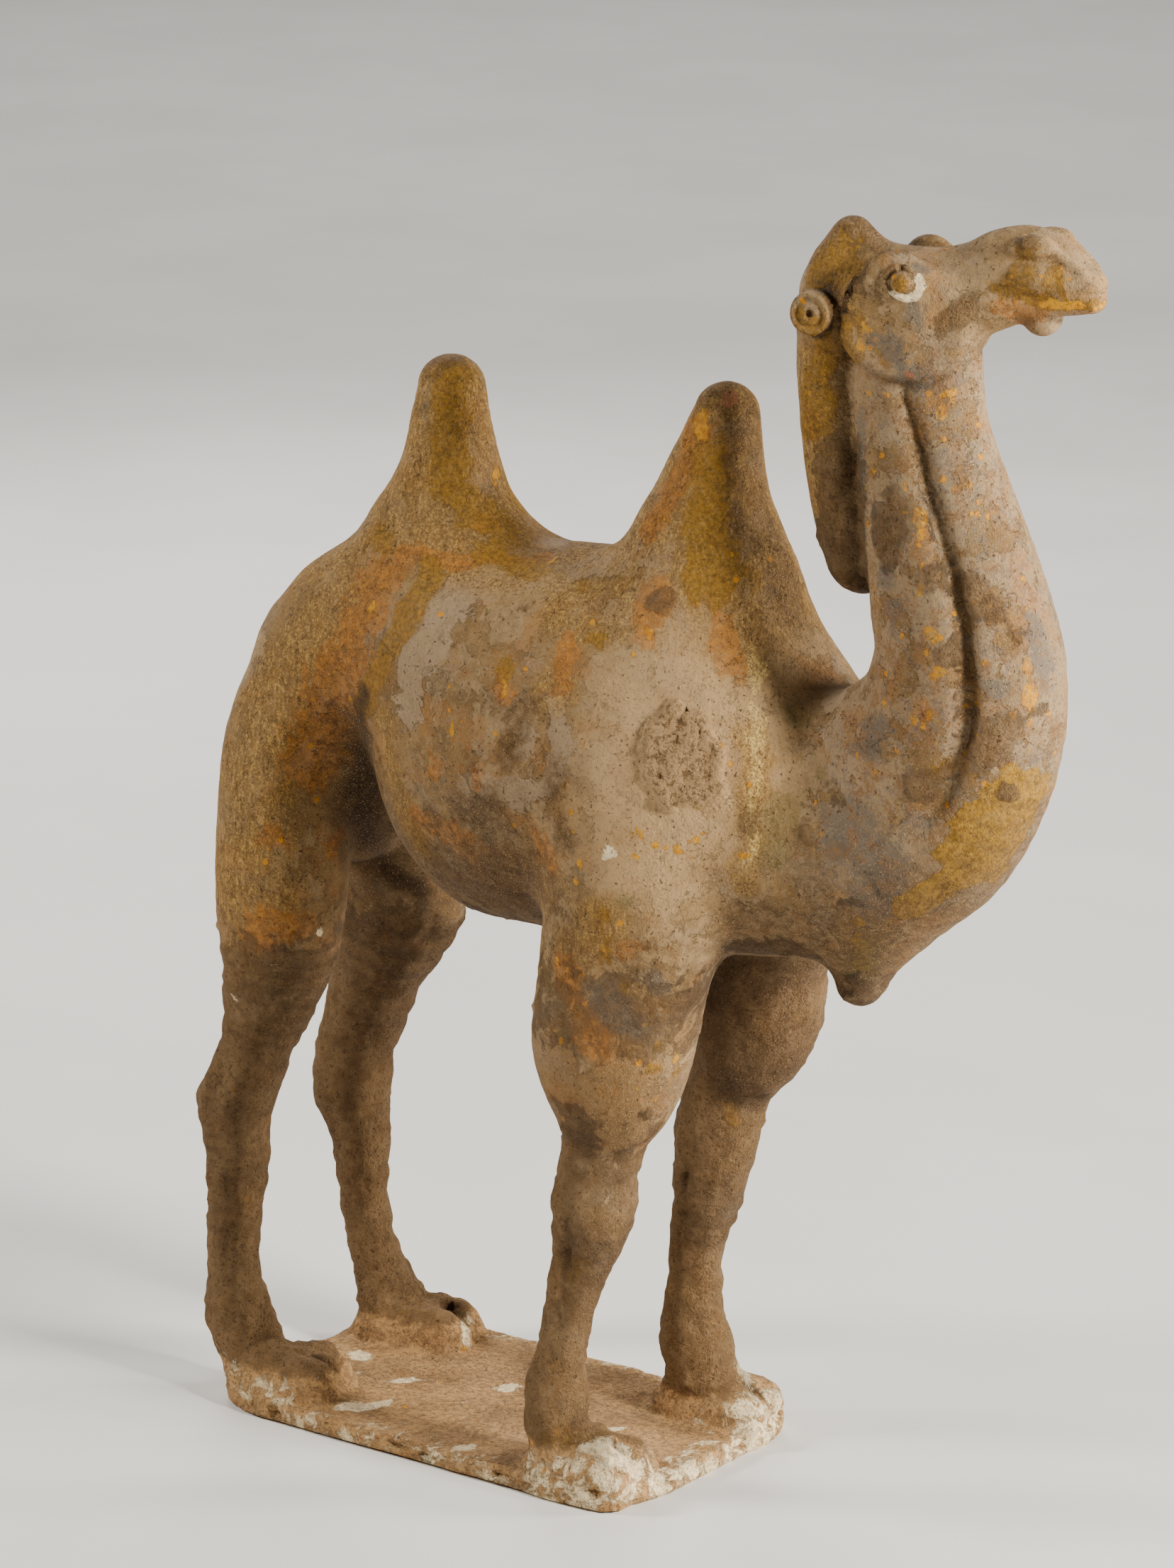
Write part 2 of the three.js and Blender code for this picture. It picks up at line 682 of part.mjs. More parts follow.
class EdgeHeap {
  constructor() {
    this.items = [];
  }

  push(item) {
    const { items } = this;
    let place = items.length;
    items.push(item);
    while (place > 0) {
      const parent = (place - 1) >> 1;
      if (items[parent].error <= item.error) {
        break;
      }
      items[place] = items[parent];
      place = parent;
    }
    items[place] = item;
  }

  pop() {
    const { items } = this;
    const top = items[0];
    const last = items.pop();
    if (items.length > 0) {
      let place = 0;
      for (;;) {
        let child = 2 * place + 1;
        if (child >= items.length) {
          break;
        }
        if (child + 1 < items.length && items[child + 1].error < items[child].error) {
          child += 1;
        }
        if (items[child].error >= last.error) {
          break;
        }
        items[place] = items[child];
        place = child;
      }
      items[place] = last;
    }
    return top;
  }
}

const LEAST_TURN = 0.3;

function faceNormal(a, b, c) {
  const [ux, uy, uz] = [b[0] - a[0], b[1] - a[1], b[2] - a[2]];
  const [vx, vy, vz] = [c[0] - a[0], c[1] - a[1], c[2] - a[2]];
  return [uy * vz - uz * vy, uz * vx - ux * vz, ux * vy - uy * vx];
}

function thinned({ points, faces }, most) {
  const errors = points.map(() => new Array(10).fill(0));
  const facesOf = points.map(() => new Set());
  const age = new Int32Array(points.length);
  const live = faces.map(() => true);
  faces.forEach((face, index) => {
    const error = planeError(points, face);
    for (const corner of face) {
      facesOf[corner].add(index);
      error.forEach((term, place) => {
        errors[corner][place] += term;
      });
    }
  });
  const neighbours = (vertex) => {
    const around = new Set();
    for (const index of facesOf[vertex]) {
      faces[index].forEach((corner) => around.add(corner));
    }
    around.delete(vertex);
    return around;
  };
  const heap = new EdgeHeap();
  const offer = (a, b) => {
    const sum = errors[a].map((term, place) => term + errors[b][place]);
    const { point, error } = bestPoint(sum, points[a], points[b]);
    const restsOn = Math.min(points[a][2], points[b][2]) < 1e-6;
    const kept = restsOn ? [point[0], point[1], 0] : point;
    const cost = restsOn ? Math.max(errorAt(sum, kept), 0) : error;
    heap.push({ a, b, point: kept, sum, error: cost, ages: age[a] + age[b] });
  };
  points.forEach((_, vertex) => {
    neighbours(vertex).forEach((other) => {
      if (other > vertex) {
        offer(vertex, other);
      }
    });
  });
  const turnsOver = (vertex, other, point) => {
    for (const index of facesOf[vertex]) {
      const face = faces[index];
      if (!face.includes(other)) {
        const before = faceNormal(...face.map((corner) => points[corner]));
        const after = faceNormal(...face.map((corner) => (corner === vertex ? point : points[corner])));
        const sizes = Math.hypot(...before) * Math.hypot(...after);
        const dot = before[0] * after[0] + before[1] * after[1] + before[2] * after[2];
        if (dot < LEAST_TURN * sizes || Math.hypot(...after) < 0.02) {
          return true;
        }
      }
    }
    return false;
  };
  let left = faces.length;
  while (left > most && heap.items.length > 0) {
    const { a, b, point, sum, ages } = heap.pop();
    const current = facesOf[a].size > 0 && facesOf[b].size > 0 && ages === age[a] + age[b];
    if (current) {
      const around = neighbours(a);
      const shared = [...neighbours(b)].filter((vertex) => around.has(vertex)).length;
      if (around.has(b) && shared === 2 && !turnsOver(a, b, point) && !turnsOver(b, a, point)) {
        points[a] = point;
        errors[a] = sum;
        for (const index of facesOf[b]) {
          const face = faces[index];
          if (face.includes(a)) {
            face.forEach((corner) => corner !== b && facesOf[corner].delete(index));
            live[index] = false;
            left -= 1;
          } else {
            face[face.indexOf(b)] = a;
            facesOf[a].add(index);
          }
        }
        facesOf[b].clear();
        age[a] += 1;
        neighbours(a).forEach((vertex) => offer(a, vertex));
      }
    }
  }
  return { points, faces: faces.filter((_, index) => live[index]) };
}

function geometryFrom({ points, faces }) {
  const used = new Map();
  const positions = [];
  const indices = faces.flat().map((vertex) => {
    if (!used.has(vertex)) {
      used.set(vertex, used.size);
      positions.push(...points[vertex]);
    }
    return used.get(vertex);
  });
  const geometry = new THREE.BufferGeometry();
  geometry.setAttribute('position', new THREE.Float32BufferAttribute(positions, 3));
  geometry.setIndex(indices);
  geometry.computeVertexNormals();
  return geometry;
}

const skin = thinned(skinMesh(camelOnSlab, GRID), MOST_TRIANGLES);
const camel = new THREE.Mesh(geometryFrom(skin), new THREE.MeshStandardMaterial(FIRED_CLAY));
camel.name = 'camel_on_base_slab';

const part = new THREE.Group();
part.add(camel);

export default part;
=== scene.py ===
"""Terracotta camel figure: its detailed fired surface, paint remains and plain studio."""

import math

import bpy
import mathutils
import numpy as np
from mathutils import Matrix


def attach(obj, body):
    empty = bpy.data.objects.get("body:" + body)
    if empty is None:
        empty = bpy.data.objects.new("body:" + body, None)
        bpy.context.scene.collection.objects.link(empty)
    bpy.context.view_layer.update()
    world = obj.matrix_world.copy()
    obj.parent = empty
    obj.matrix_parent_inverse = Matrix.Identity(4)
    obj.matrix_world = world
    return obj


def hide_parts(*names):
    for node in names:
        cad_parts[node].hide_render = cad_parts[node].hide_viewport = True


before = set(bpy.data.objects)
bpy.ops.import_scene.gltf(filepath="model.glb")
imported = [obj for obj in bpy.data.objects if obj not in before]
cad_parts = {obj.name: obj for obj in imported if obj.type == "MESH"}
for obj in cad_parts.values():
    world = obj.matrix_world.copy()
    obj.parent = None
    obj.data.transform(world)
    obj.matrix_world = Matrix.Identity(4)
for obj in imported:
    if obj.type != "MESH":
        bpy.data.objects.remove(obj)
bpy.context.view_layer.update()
NODE = "camel_on_base_slab"

# All shape work is in millimetres, +X towards the chest, +Y to the camel's left, +Z up.
MM = 0.001
# The lattice step of the skin mesh, and the distance given to points that a form doesn't reach
BODY_STEP, FAR_AWAY = 1.98, 200.0


# Distance helpers
def smooth_step(value, low, high):
    t = np.clip((value - low) / (high - low), 0, 1)
    return t * t * (3 - 2 * t)


def blend(a, b, width):
    """Joins two forms with a soft fillet of this width."""
    h = np.maximum(width - np.abs(a - b), 0) / width
    return np.minimum(a, b) - h * h * width * 0.25


def carve(a, b, width):
    """Takes the second form out of the first, with a soft edge."""
    return -blend(-a, b, width)


def curved(rows, per=5):
    """A smooth line through the rows, with this many steps from one to the next."""
    rows = np.asarray(rows, float)
    if len(rows) < 3:
        t = np.linspace(0, 1, per + 1)[:, None]
        return rows[0] * (1 - t) + rows[-1] * t
    ends = np.vstack([2 * rows[0] - rows[1], rows, 2 * rows[-1] - rows[-2]])
    out = []
    for p0, p1, p2, p3 in zip(ends, ends[1:], ends[2:], ends[3:]):
        for t in np.arange(per) / per:
            square, cube = t * t, t * t * t
            out.append(0.5 * (2 * p1 + (p2 - p0) * t + (2 * p0 - 5 * p1 + 4 * p2 - p3) * square
                              + (3 * p1 - p0 - 3 * p2 + p3) * cube))
    out.append(rows[-1])
    return np.array(out)


def egg_distance(parts, radii):
    """About the distance to an egg, from the parts of the way from its middle along its axes."""
    near = np.sqrt(sum((p / r) ** 2 for p, r in zip(parts, radii)))
    far = np.sqrt(sum((p / r ** 2) ** 2 for p, r in zip(parts, radii)))
    return near * (near - 1) / np.maximum(far, 1e-6)


def limb(points, rows, reach):
    """Rows of x, y, z, radius across the side view, radius across the camel."""
    line = curved(rows)
    wide = line[:, 3:].max() + reach
    near = np.all((points > line[:, :3].min(0) - wide) & (points < line[:, :3].max(0) + wide), axis=1)
    q = points[near]
    best = np.full(len(q), FAR_AWAY)
    for a, b in zip(line[:-1], line[1:]):
        along = b[:3] - a[:3]
        length = np.linalg.norm(along)
        if length < 1e-6:
            continue
        forward = along / length
        side = np.array([0, 1.0, 0]) - forward[1] * forward
        side /= np.linalg.norm(side)
        up = np.cross(forward, side)
        d = q - a[:3]
        t = np.clip(d @ forward / length, 0, 1)
        deep = a[3] + (b[3] - a[3]) * t
        broad = a[4] + (b[4] - a[4]) * t
        d = d - t[:, None] * along
        parts = (d @ side, d @ up, d @ forward)
        best = np.minimum(best, egg_distance(parts, (broad, deep, np.minimum(deep, broad))))
    out = np.full(len(points), FAR_AWAY)
    out[near] = best
    return out


def thread(points, rows, reach=24, per=4):
    """Distance to a line of x, y, z, radius."""
    line = curved(rows, per) if len(rows) > 1 else np.asarray(rows * 2, float)
    near = np.all((points > line[:, :3].min(0) - reach) & (points < line[:, :3].max(0) + reach), axis=1)
    q = points[near]
    best = np.full(len(q), FAR_AWAY)
    for a, b in zip(line[:-1], line[1:]):
        along = b[:3] - a[:3]
        t = np.clip((q - a[:3]) @ along / max(along @ along, 1e-9), 0, 1)
        radius = a[3] + (b[3] - a[3]) * t
        best = np.minimum(best, np.linalg.norm(q - a[:3] - t[:, None] * along, axis=1) - radius)
    out = np.full(len(points), FAR_AWAY)
    out[near] = best
    return out


def turned(points, degrees, pivot=(0.0, 0.0)):
    a = math.radians(degrees)
    dx, dy = points[:, 0] - pivot[0], points[:, 1] - pivot[1]
    return np.stack([dx * math.cos(a) + dy * math.sin(a), -dx * math.sin(a) + dy * math.cos(a),
                     points[:, 2]], 1)


def ball(points, centre, radii):
    d = points - np.asarray(centre, float)
    return egg_distance((d[:, 0], d[:, 1], d[:, 2]), radii)


def rounded(flat, up, edge):
    """Where two forms overlap, with an edge of this radius."""
    a, b = flat + edge, up + edge
    return np.minimum(np.maximum(a, b), 0) + np.hypot(np.maximum(a, 0), np.maximum(b, 0)) - edge


def mirrored(points):
    """The points, with those of the camel's left moved to its right."""
    out = points.copy()
    out[:, 1] = -np.abs(out[:, 1])
    return out


# Stations of the body, the same sizes as the solid
BARREL = [
    (2, 0, 223, 57.5, 42), (22, 0, 225.5, 59, 48), (50, 0, 226.5, 59, 49), (78, 0, 224, 55, 46),
    (99, 0, 214, 43, 37)]
LOIN = [(-61, 0, 238, 22.5, 24), (-40, 0, 242, 28.5, 29), (-10, 0, 239, 38, 37)]
REAR_HUMP = [
    (-22, 0, 250, 36, 30), (-21, 0, 274, 29, 24), (-20, 0, 290, 20.5, 18.5), (-19.5, 0, 305, 15, 14),
    (-18.8, 0, 327.5, 10.6, 9.8)]
FRONT_HUMP = [
    (70, 0, 246, 39, 32), (75, 0, 272, 32.5, 28), (76, 0, 290, 24.8, 21.5), (77.5, 0, 305, 18.2, 16.2),
    (79.6, 0, 318, 13.8, 13.2), (82.4, 0, 332.5, 10, 10)]
RUMP = [(-46, 0, 241, 25.5, 27), (-62, 0, 228, 23, 26), (-70, 0, 206, 18, 20), (-68, 0, 186, 12, 16)]
GROIN = [(-30, 0, 222, 30, 24), (-52, 0, 206, 26, 20), (-58, 0, 186, 14, 16)]
HIND_NEAR = [
    (-48, -13, 252, 20, 16), (-56, -19, 236, 20, 18), (-65, -23.5, 214, 19.5, 19.5),
    (-65, -26, 190, 21, 20), (-65, -28, 166, 21.5, 19), (-66.3, -29, 145, 17.5, 16),
    (-72, -31, 120, 11.4, 11.7), (-80.5, -32, 97, 11.5, 11.5), (-81, -32, 80, 9.8, 9.5),
    (-82, -32, 60, 8, 8), (-83, -32, 40, 8, 8), (-82, -31, 26, 10.5, 10), (-77, -31, 16, 9, 9.5)]
HIND_FAR = [
    (-48, 13, 252, 20, 16), (-57, 19, 236, 21, 18), (-64, 24, 207, 21, 20),
    (-61.5, 26, 162, 25.5, 19.5), (-71, 27, 129, 15.7, 14), (-79.2, 28, 104, 12.2, 12),
    (-82.8, 28, 87, 12.5, 12), (-79.5, 28, 68, 8.8, 8.8), (-78, 28, 47, 7.5, 7.5),
    (-74, 28, 31, 7.8, 7.8), (-68, 28, 18, 10, 10)]
SLEEVE_NEAR = [
    (74, -26, 226, 31, 25), (73, -29, 195, 30, 24), (68, -31, 165, 26.5, 22.5), (65, -32, 145, 25, 22),
    (65, -32, 130, 19, 18.5), (64, -33, 120, 11, 12)]
SLEEVE_FAR = [
    (76, 25, 226, 33, 25), (78, 28, 190, 30, 24), (76, 29, 158, 20.5, 20), (75, 30, 142, 19.5, 19),
    (71.5, 30, 130, 17, 17), (66, 30, 118, 11, 12)]
SHANK_NEAR = [
    (64, -33, 124, 13, 12.5), (62, -33, 112, 12, 12), (60, -33, 103, 11.5, 11.5),
    (59, -33, 92, 12.6, 12.3), (56, -34, 76, 9, 9), (51.5, -35, 60, 7.4, 7.4),
    (48.5, -36, 43, 7.2, 7.2), (46.5, -36, 30, 9.4, 9.2), (47.5, -36, 18, 8.5, 9)]
SHANK_FAR = [
    (67, 30, 124, 12.5, 12.5), (61.5, 30, 108, 13.2, 12.5), (58.5, 30, 92, 12.8, 12.5),
    (56, 30, 77, 10.5, 10.5), (52, 30, 60, 8.2, 8.2), (51, 30, 42, 8.6, 8.6), (51.5, 30, 29, 11, 10.5),
    (55, 30, 19, 10.5, 11)]
NECK = [
    (98, 0, 214, 40, 34), (124, 0, 212, 37, 32), (147.5, 0, 226, 37, 30), (163.5, 0, 247, 32.5, 27),
    (168.2, 0, 270, 28.8, 25), (163.5, 0, 292, 26.5, 22.5), (156.5, 0, 315, 23.3, 19.5),
    (150.5, 0, 338, 21, 16), (147.5, 0, 360, 21.5, 13)]
TUFT = [(139, 0, 195, 18, 17), (134.5, 0, 180, 11.5, 12), (132, 0, 168.5, 7.5, 7.5)]
MANE = [
    (123.5, 0, 374, 13, 12), (122.5, 0, 355, 12.5, 13), (125, 0, 330, 12.5, 13.5),
    (129, 0, 310, 13, 13), (131.3, 0, 297.5, 11.2, 11)]
BAND_GROOVE = [
    (152.9, -12.6, 351.6, 0.8), (158, -14, 338.3, 1.6), (163.8, -15.8, 323.8, 2.1),
    (171.9, -17.8, 305.4, 2.4), (177.4, -19.2, 290.8, 2.6), (180.2, -20.5, 277.2, 2.6),
    (181, -21.9, 260.4, 2.6), (178.4, -23.4, 245.9, 2.4), (172.4, -25.3, 232.3, 2.0),
    (165.9, -26.6, 222.5, 0.6)]
FEET = [(-64, -31, 12), (-58, 28, 18), (56, -33, 0), (58, 31, 8)]
FOOT_LENGTH, FOOT_WIDTH, FOOT_HEIGHT = 41, 28, 16.5
# Fine carving that the solid leaves out: the hollows beside each cannon and behind each hock
TENDONS = [
    [(58, -45.6, 95, 0.5), (57, -42.9, 80, 1.1), (54.6, -42.7, 68, 1.2), (52, -42.9, 56, 1.1),
     (49.5, -43.6, 43, 0.6)],
    [(49.5, -27, 84, 0.6), (45.5, -28.5, 66, 1.2), (42.5, -30, 50, 1.1), (41, -30, 40, 0.5)],
    [(56, 19, 88, 0.6), (53.5, 20.4, 72, 1.1), (49.5, 22.4, 56, 1.1), (48, 21.8, 42, 0.5)],
    [(52, 40, 84, 0.6), (48, 37.6, 66, 1.1), (46, 37.8, 48, 1.0), (46, 39, 38, 0.5)],
    [(-74, -42.6, 122, 0.8), (-79, -43, 108, 1.6), (-85, -42.6, 96, 0.8)],
    [(-74, 39.2, 118, 0.8), (-80, 39.4, 104, 1.5), (-86, 39.4, 92, 0.8)],
    [(-78.6, -40, 74, 0.5), (-79, -39.4, 58, 1.0), (-80.5, -39.6, 40, 0.5)],
]

# The head lies in its own frame, turned to the camel's left.
HEAD_TURN = 10.0
HEAD_PIVOT = (147.0, 0.0)
FACE = [
    (-22, 0, 372, 15, 11), (-8, 0, 374, 15.5, 12.5), (4, 0, 375, 14.5, 12.5),
    (14, 0, 378.5, 12.7, 10.5), (22, 0, 382, 11.8, 9.3), (30, 0, 386, 12, 9.2),
    (37, 0, 387.3, 11.6, 9), (43, 0, 386, 9.9, 8.5), (49, 0, 384, 7.3, 7.6),
    (53.5, 0, 383.3, 5.4, 6.4)]
JAW = [(6, 0, 367, 12.5, 11.5), (16, 0, 373.5, 9.5, 9), (30, 0, 377.5, 7, 7.5)]
LOWER_LIP = [(36, 0, 377.5, 4.3, 7), (48, 0, 378.2, 3.7, 6.8), (55.3, 0, 378.9, 3.3, 5.2)]
CREST = [
    (-24, 0, 366, 11, 12), (-22.5, 0, 380, 9.8, 9.5), (-20, 0, 388, 6.5, 7), (-19, 0, 391.3, 4.8, 5)]
FORELOCK = [(-19, 0, 391, 4.8, 5), (-10, 0, 386, 5, 8), (-1, 0, 383, 5.5, 10)]
BROW = [
    (-5.5, -13.8, 378.5, 1.2), (-6.8, -14.2, 383, 2.2), (-4.2, -13.4, 386.8, 2.9),
    (0.8, -12.4, 388.2, 3.0), (5.4, -11.8, 386.8, 2.3), (9.5, -11, 384.4, 1.2)]
MOUTH = [
    (32, -9.9, 383, 0.5), (30.8, -10, 380.8, 0.8), (33.6, -9.9, 379.2, 0.9), (38, -9.4, 380, 0.8),
    (46, -8.6, 381.4, 0.9), (53, -7.2, 381.8, 0.9), (58, -4, 381.6, 0.9), (60, 0, 381.4, 0.9)]
UPPER_LID = [
    (-1.8, -16, 383.2, 0.5), (0.2, -16.2, 386, 0.8), (3.2, -16, 387, 0.9), (6.8, -14.6, 385.4, 0.7),
    (9.2, -13, 383, 0.4)]
LOWER_LID = [
    (-1.6, -16, 381.6, 0.5), (0.6, -16.2, 379.4, 0.8), (4, -15.7, 378.4, 0.9),
    (7.4, -14.2, 379.8, 0.6), (9.6, -12.8, 382, 0.3)]
NOSTRIL = [
    (36.5, -9.2, 391.6, 0.3), (39.6, -9.9, 390.8, 0.7), (43.6, -9.3, 391.2, 0.7),
    (46.4, -7.8, 392.6, 0.3)]
NOSE_RIDGE = [(43, -6.9, 394.8, 1.5), (48.6, -6.2, 391.6, 1.3), (54.4, -5, 387.6, 0.8)]
LIP_CLEFT = [(58.2, 0, 386.6, 0.3), (59.6, 0, 384.6, 0.6), (59.8, 0, 382.4, 0.6)]
HAIR_EDGE = [
    (-9.6, -10.5, 389.4, 0.5), (-11.2, -13, 383.4, 1.0), (-13.6, -14, 376.5, 1.1),
    (-17, -14, 368, 0.9), (-18.6, -14, 362, 0.5)]
CHEEK_EDGE = [
    (-17.5, -13.6, 362.4, 0.5), (-11.4, -14.4, 356, 1.0), (-3, -14.8, 352.6, 1.1),
    (6, -14.4, 352.4, 1.0), (14.5, -12.6, 356.2, 0.9), (20.5, -10.4, 362, 0.5)]
EAR_CENTRE = (-24.6, -12.8, 371.3)
EAR_RADIUS, EAR_HALF_DEPTH, EAR_FACE, EAR_RING = 6.4, 4.6, -17.5, 3.9
CHEEK_MIDDLE, CHEEK_LONG, CHEEK_HIGH, CHEEK_EDGE_RADIUS = (1.8, 370.4), 20, 17.4, 3.4
CHEEK_HALF_WIDTH, CHEEK_TAPER = 15.6, 4.5
# Round forms, each a middle and its radii
EYE_MOUND = ((3, -12, 381.5), (8, 3.8, 5.5))
EYEBALL = ((3.4, -15.8, 382.8), (3.3, 3.0, 3.3))
CHIN = ((40, 0, 373.2), (5.6, 5.6, 5.2))
NOSE = ((40, -6.9, 394.4), (6.2, 3, 3.4))
UPPER_LIP = ((38.5, -8, 386), (7.5, 2.9, 3.6))
HOCK = ((-88, -32, 97), (6, 7, 8))
TOE_NOTCH = ((-45.5, 33, 17.5), (4.5, 3, 4))
SLAB_HALF_LENGTH, SLAB_HALF_WIDTH, SLAB_HALF_HEIGHT, SLAB_EDGE = 80, 47.5, 3, 2.5
WIDE_CORNER, TIGHT_CORNER = 31.0, 20.0


def cheek(points):
    x, y, z = points[:, 0] - CHEEK_MIDDLE[0], points[:, 1], points[:, 2] - CHEEK_MIDDLE[1]
    half = CHEEK_HALF_WIDTH - CHEEK_TAPER * smooth_step(x, 2, 20)
    near = np.hypot(x / CHEEK_LONG, z / CHEEK_HIGH)
    far = np.hypot(x / CHEEK_LONG ** 2, z / CHEEK_HIGH ** 2)
    return rounded(near * (near - 1) / np.maximum(far, 1e-6), np.abs(y) - half, CHEEK_EDGE_RADIUS)


def head(points, reach):
    local = turned(points, HEAD_TURN, HEAD_PIVOT)
    both = mirrored(local)

    def part(rows):
        return limb(local, rows, reach)

    out = blend(part(FACE), part(JAW), 5)
    out = blend(out, cheek(local), 4)
    out = blend(out, blend(part(CREST), part(FORELOCK), 5), 1.5)
    out = blend(out, thread(both, BROW), 2.2)
    out = blend(out, ball(both, *EYE_MOUND), 2)
    for lid in (UPPER_LID, LOWER_LID):
        out = blend(out, thread(both, lid), 0.8)
    out = blend(out, ball(both, *EYEBALL), 0.4)
    out = blend(out, ball(local, *CHIN), 3)
    out = blend(out, part(LOWER_LIP), 1.5)
    out = blend(out, ball(both, *NOSE), 2.5)
    out = blend(out, thread(both, NOSE_RIDGE), 2)
    out = blend(out, ball(both, *UPPER_LIP), 2)
    for groove in (MOUTH, NOSTRIL, LIP_CLEFT, HAIR_EDGE):
        out = carve(out, thread(both, groove), 0.8)
    across = np.hypot(both[:, 0] - EAR_CENTRE[0], both[:, 2] - EAR_CENTRE[2])
    outward = both[:, 1] - EAR_FACE
    ear = rounded(across - EAR_RADIUS, np.abs(both[:, 1] - EAR_CENTRE[1]) - EAR_HALF_DEPTH, 1.2)
    ear = carve(ear, np.hypot(across - EAR_RING, outward) - 0.8, 1.0)
    ear = carve(ear, np.hypot(across, outward * 0.7) - 1.0, 0.8)
    return blend(out, ear, 1.2)


def slab(points):
    x, y, z = points.T
    corner = np.where(x * y < 0, WIDE_CORNER, TIGHT_CORNER)
    flat = rounded(np.abs(x) - SLAB_HALF_LENGTH, np.abs(y) - SLAB_HALF_WIDTH, corner)
    return rounded(flat, np.abs(z - SLAB_HALF_HEIGHT) - SLAB_HALF_HEIGHT, SLAB_EDGE)


def foot(points, x, y, heading):
    local = turned(points, heading, (x, y))
    out = ball(local, (0, 0, 6), (FOOT_LENGTH * 0.5, FOOT_WIDTH * 0.5, FOOT_HEIGHT * 0.8))
    toe_radii = (FOOT_LENGTH * 0.27, FOOT_WIDTH * 0.27, FOOT_HEIGHT * 0.7)
    for side in (-1, 1):
        toe = (FOOT_LENGTH * 0.24, side * FOOT_WIDTH * 0.25, 6)
        out = blend(out, ball(local, toe, toe_radii), 3)
    cleft = [(FOOT_LENGTH * along, 0, up, radius) for along, up, radius in
             ((0.24, 16.4, 0.4), (0.36, 14.6, 1.1), (0.48, 10.6, 1.2), (0.54, 7.5, 0.6))]
    return carve(out, thread(local, cleft), 2)


def camel(points, reach=20.0):
    """Signed distance to the figure, in millimetres, about right near the skin."""
    both = mirrored(points)
    z = points[:, 2]
    upper = smooth_step(z, 220, 260)

    def part(rows):
        return limb(points, rows, reach)

    out = blend(part(BARREL), part(LOIN), 5 + 13 * upper)
    out = blend(out, part(REAR_HUMP), 16)
    out = blend(out, part(FRONT_HUMP), 12)
    rear = blend(part(RUMP), part(GROIN), 8)
    thigh = 5 + 10 * smooth_step(z, 180, 215)
    for leg in (HIND_NEAR, HIND_FAR):
        rear = blend(rear, part(leg), thigh)
    rear = blend(rear, ball(points, *HOCK), 1)
    out = blend(out, rear, 4 + 12 * upper)
    for sleeve, shank in ((SLEEVE_NEAR, SHANK_NEAR), (SLEEVE_FAR, SHANK_FAR)):
        out = blend(out, part(sleeve), 9)
        out = blend(out, part(shank), 2.5)
    out = blend(out, blend(part(NECK), part(TUFT), 8), 8)
    out = carve(out, thread(both, BAND_GROOVE), 4)
    for groove in TENDONS:
        out = carve(out, thread(points, groove), 2)
    out = blend(out, head(points, reach), 1.5)
    out = carve(out, thread(mirrored(turned(points, HEAD_TURN, HEAD_PIVOT)), CHEEK_EDGE), 1.2)
    out = blend(out, part(MANE), 2)
    base = slab(points)
    for place in FEET:
        base = blend(base, foot(points, *place), 5)
    base = carve(base, ball(points, *TOE_NOTCH), 1.5)
    out = blend(out, base, 5)
    return np.maximum(out, -z)


# Seeded value noise, from 0 to 1
PRIMES = (374761393, 668265263, 2147483647)
SEED_PRIME = 1274126177
WORD, SHARE = 0xFFFFFFFF, 0xFFFFFF


def lattice_hash(i, j, k, seed):
    h = (i * PRIMES[0] + j * PRIMES[1] + k * PRIMES[2] + seed * SEED_PRIME) & WORD
    h = ((h ^ (h >> 13)) * SEED_PRIME) & WORD
    return ((h ^ (h >> 16)) & SHARE) / SHARE


# The corners of one lattice cell
CUBE = [(i, j, k) for i in (0, 1) for j in (0, 1) for k in (0, 1)]


def grain(points, size, seed, octaves=1):
    total, weight, amount = 0.0, 1.0, 0.0
    for octave in range(octaves):
        q = points / (size * 0.5 ** octave) + 512
        cell = np.floor(q).astype(np.int64)
        t = q - cell
        t = t * t * (3 - 2 * t)
        value = 0.0
        for corner in CUBE:
            share = np.where(corner, t, 1 - t).prod(1)
            value = value + share * lattice_hash(*(cell + corner).T, seed + 17 * octave)
        total = total + weight * value
        amount += weight
        weight *= 0.55
    return total / amount


# Skin mesh: field values on a lattice that is only filled near the skin
LOWEST = np.array([-101.0, -60.0, -4.2])
HIGHEST = np.array([212.0, 60.0, 404.0])
# Lattice steps of the first pass, and the points that are worked out at once
COARSE, BATCH = 4, 120000
# More than the number of points, so that two point numbers make one key
SIDE_KEY = 10 ** 7


def from_corner(grid, corner):
    """The values that all cells have at one of their corners."""
    i, j, k = corner
    a, b, c = grid.shape
    return grid[i:a - 1 + i, j:b - 1 + j, k:c - 1 + k]


def near_skin_values():
    cells = np.ceil((HIGHEST - LOWEST) / BODY_STEP).astype(int)
    cells = (cells + COARSE - 1) // COARSE * COARSE
    values = np.full(cells + 1, np.nan)
    wanted = np.zeros(cells + 1, bool)
    wanted[::COARSE, ::COARSE, ::COARSE] = True
    for stride in (COARSE, COARSE // 2, 1):
        places = np.argwhere(wanted & np.isnan(values))
        for start in range(0, len(places), BATCH):
            part = places[start:start + BATCH]
            values[tuple(part.T)] = camel(LOWEST + BODY_STEP * part, 6 * stride + 14)
        if stride == 1:
            break
        nodes = values[::stride, ::stride, ::stride]
        least = np.minimum.reduce([np.abs(from_corner(nodes, corner)) for corner in CUBE])
        half = stride // 2
        wanted[:] = False
        for cell in np.argwhere(least < stride * BODY_STEP * 1.2):
            x, y, z = cell * stride
            wanted[x:x + stride + 1:half, y:y + stride + 1:half, z:z + stride + 1:half] = True
    return values


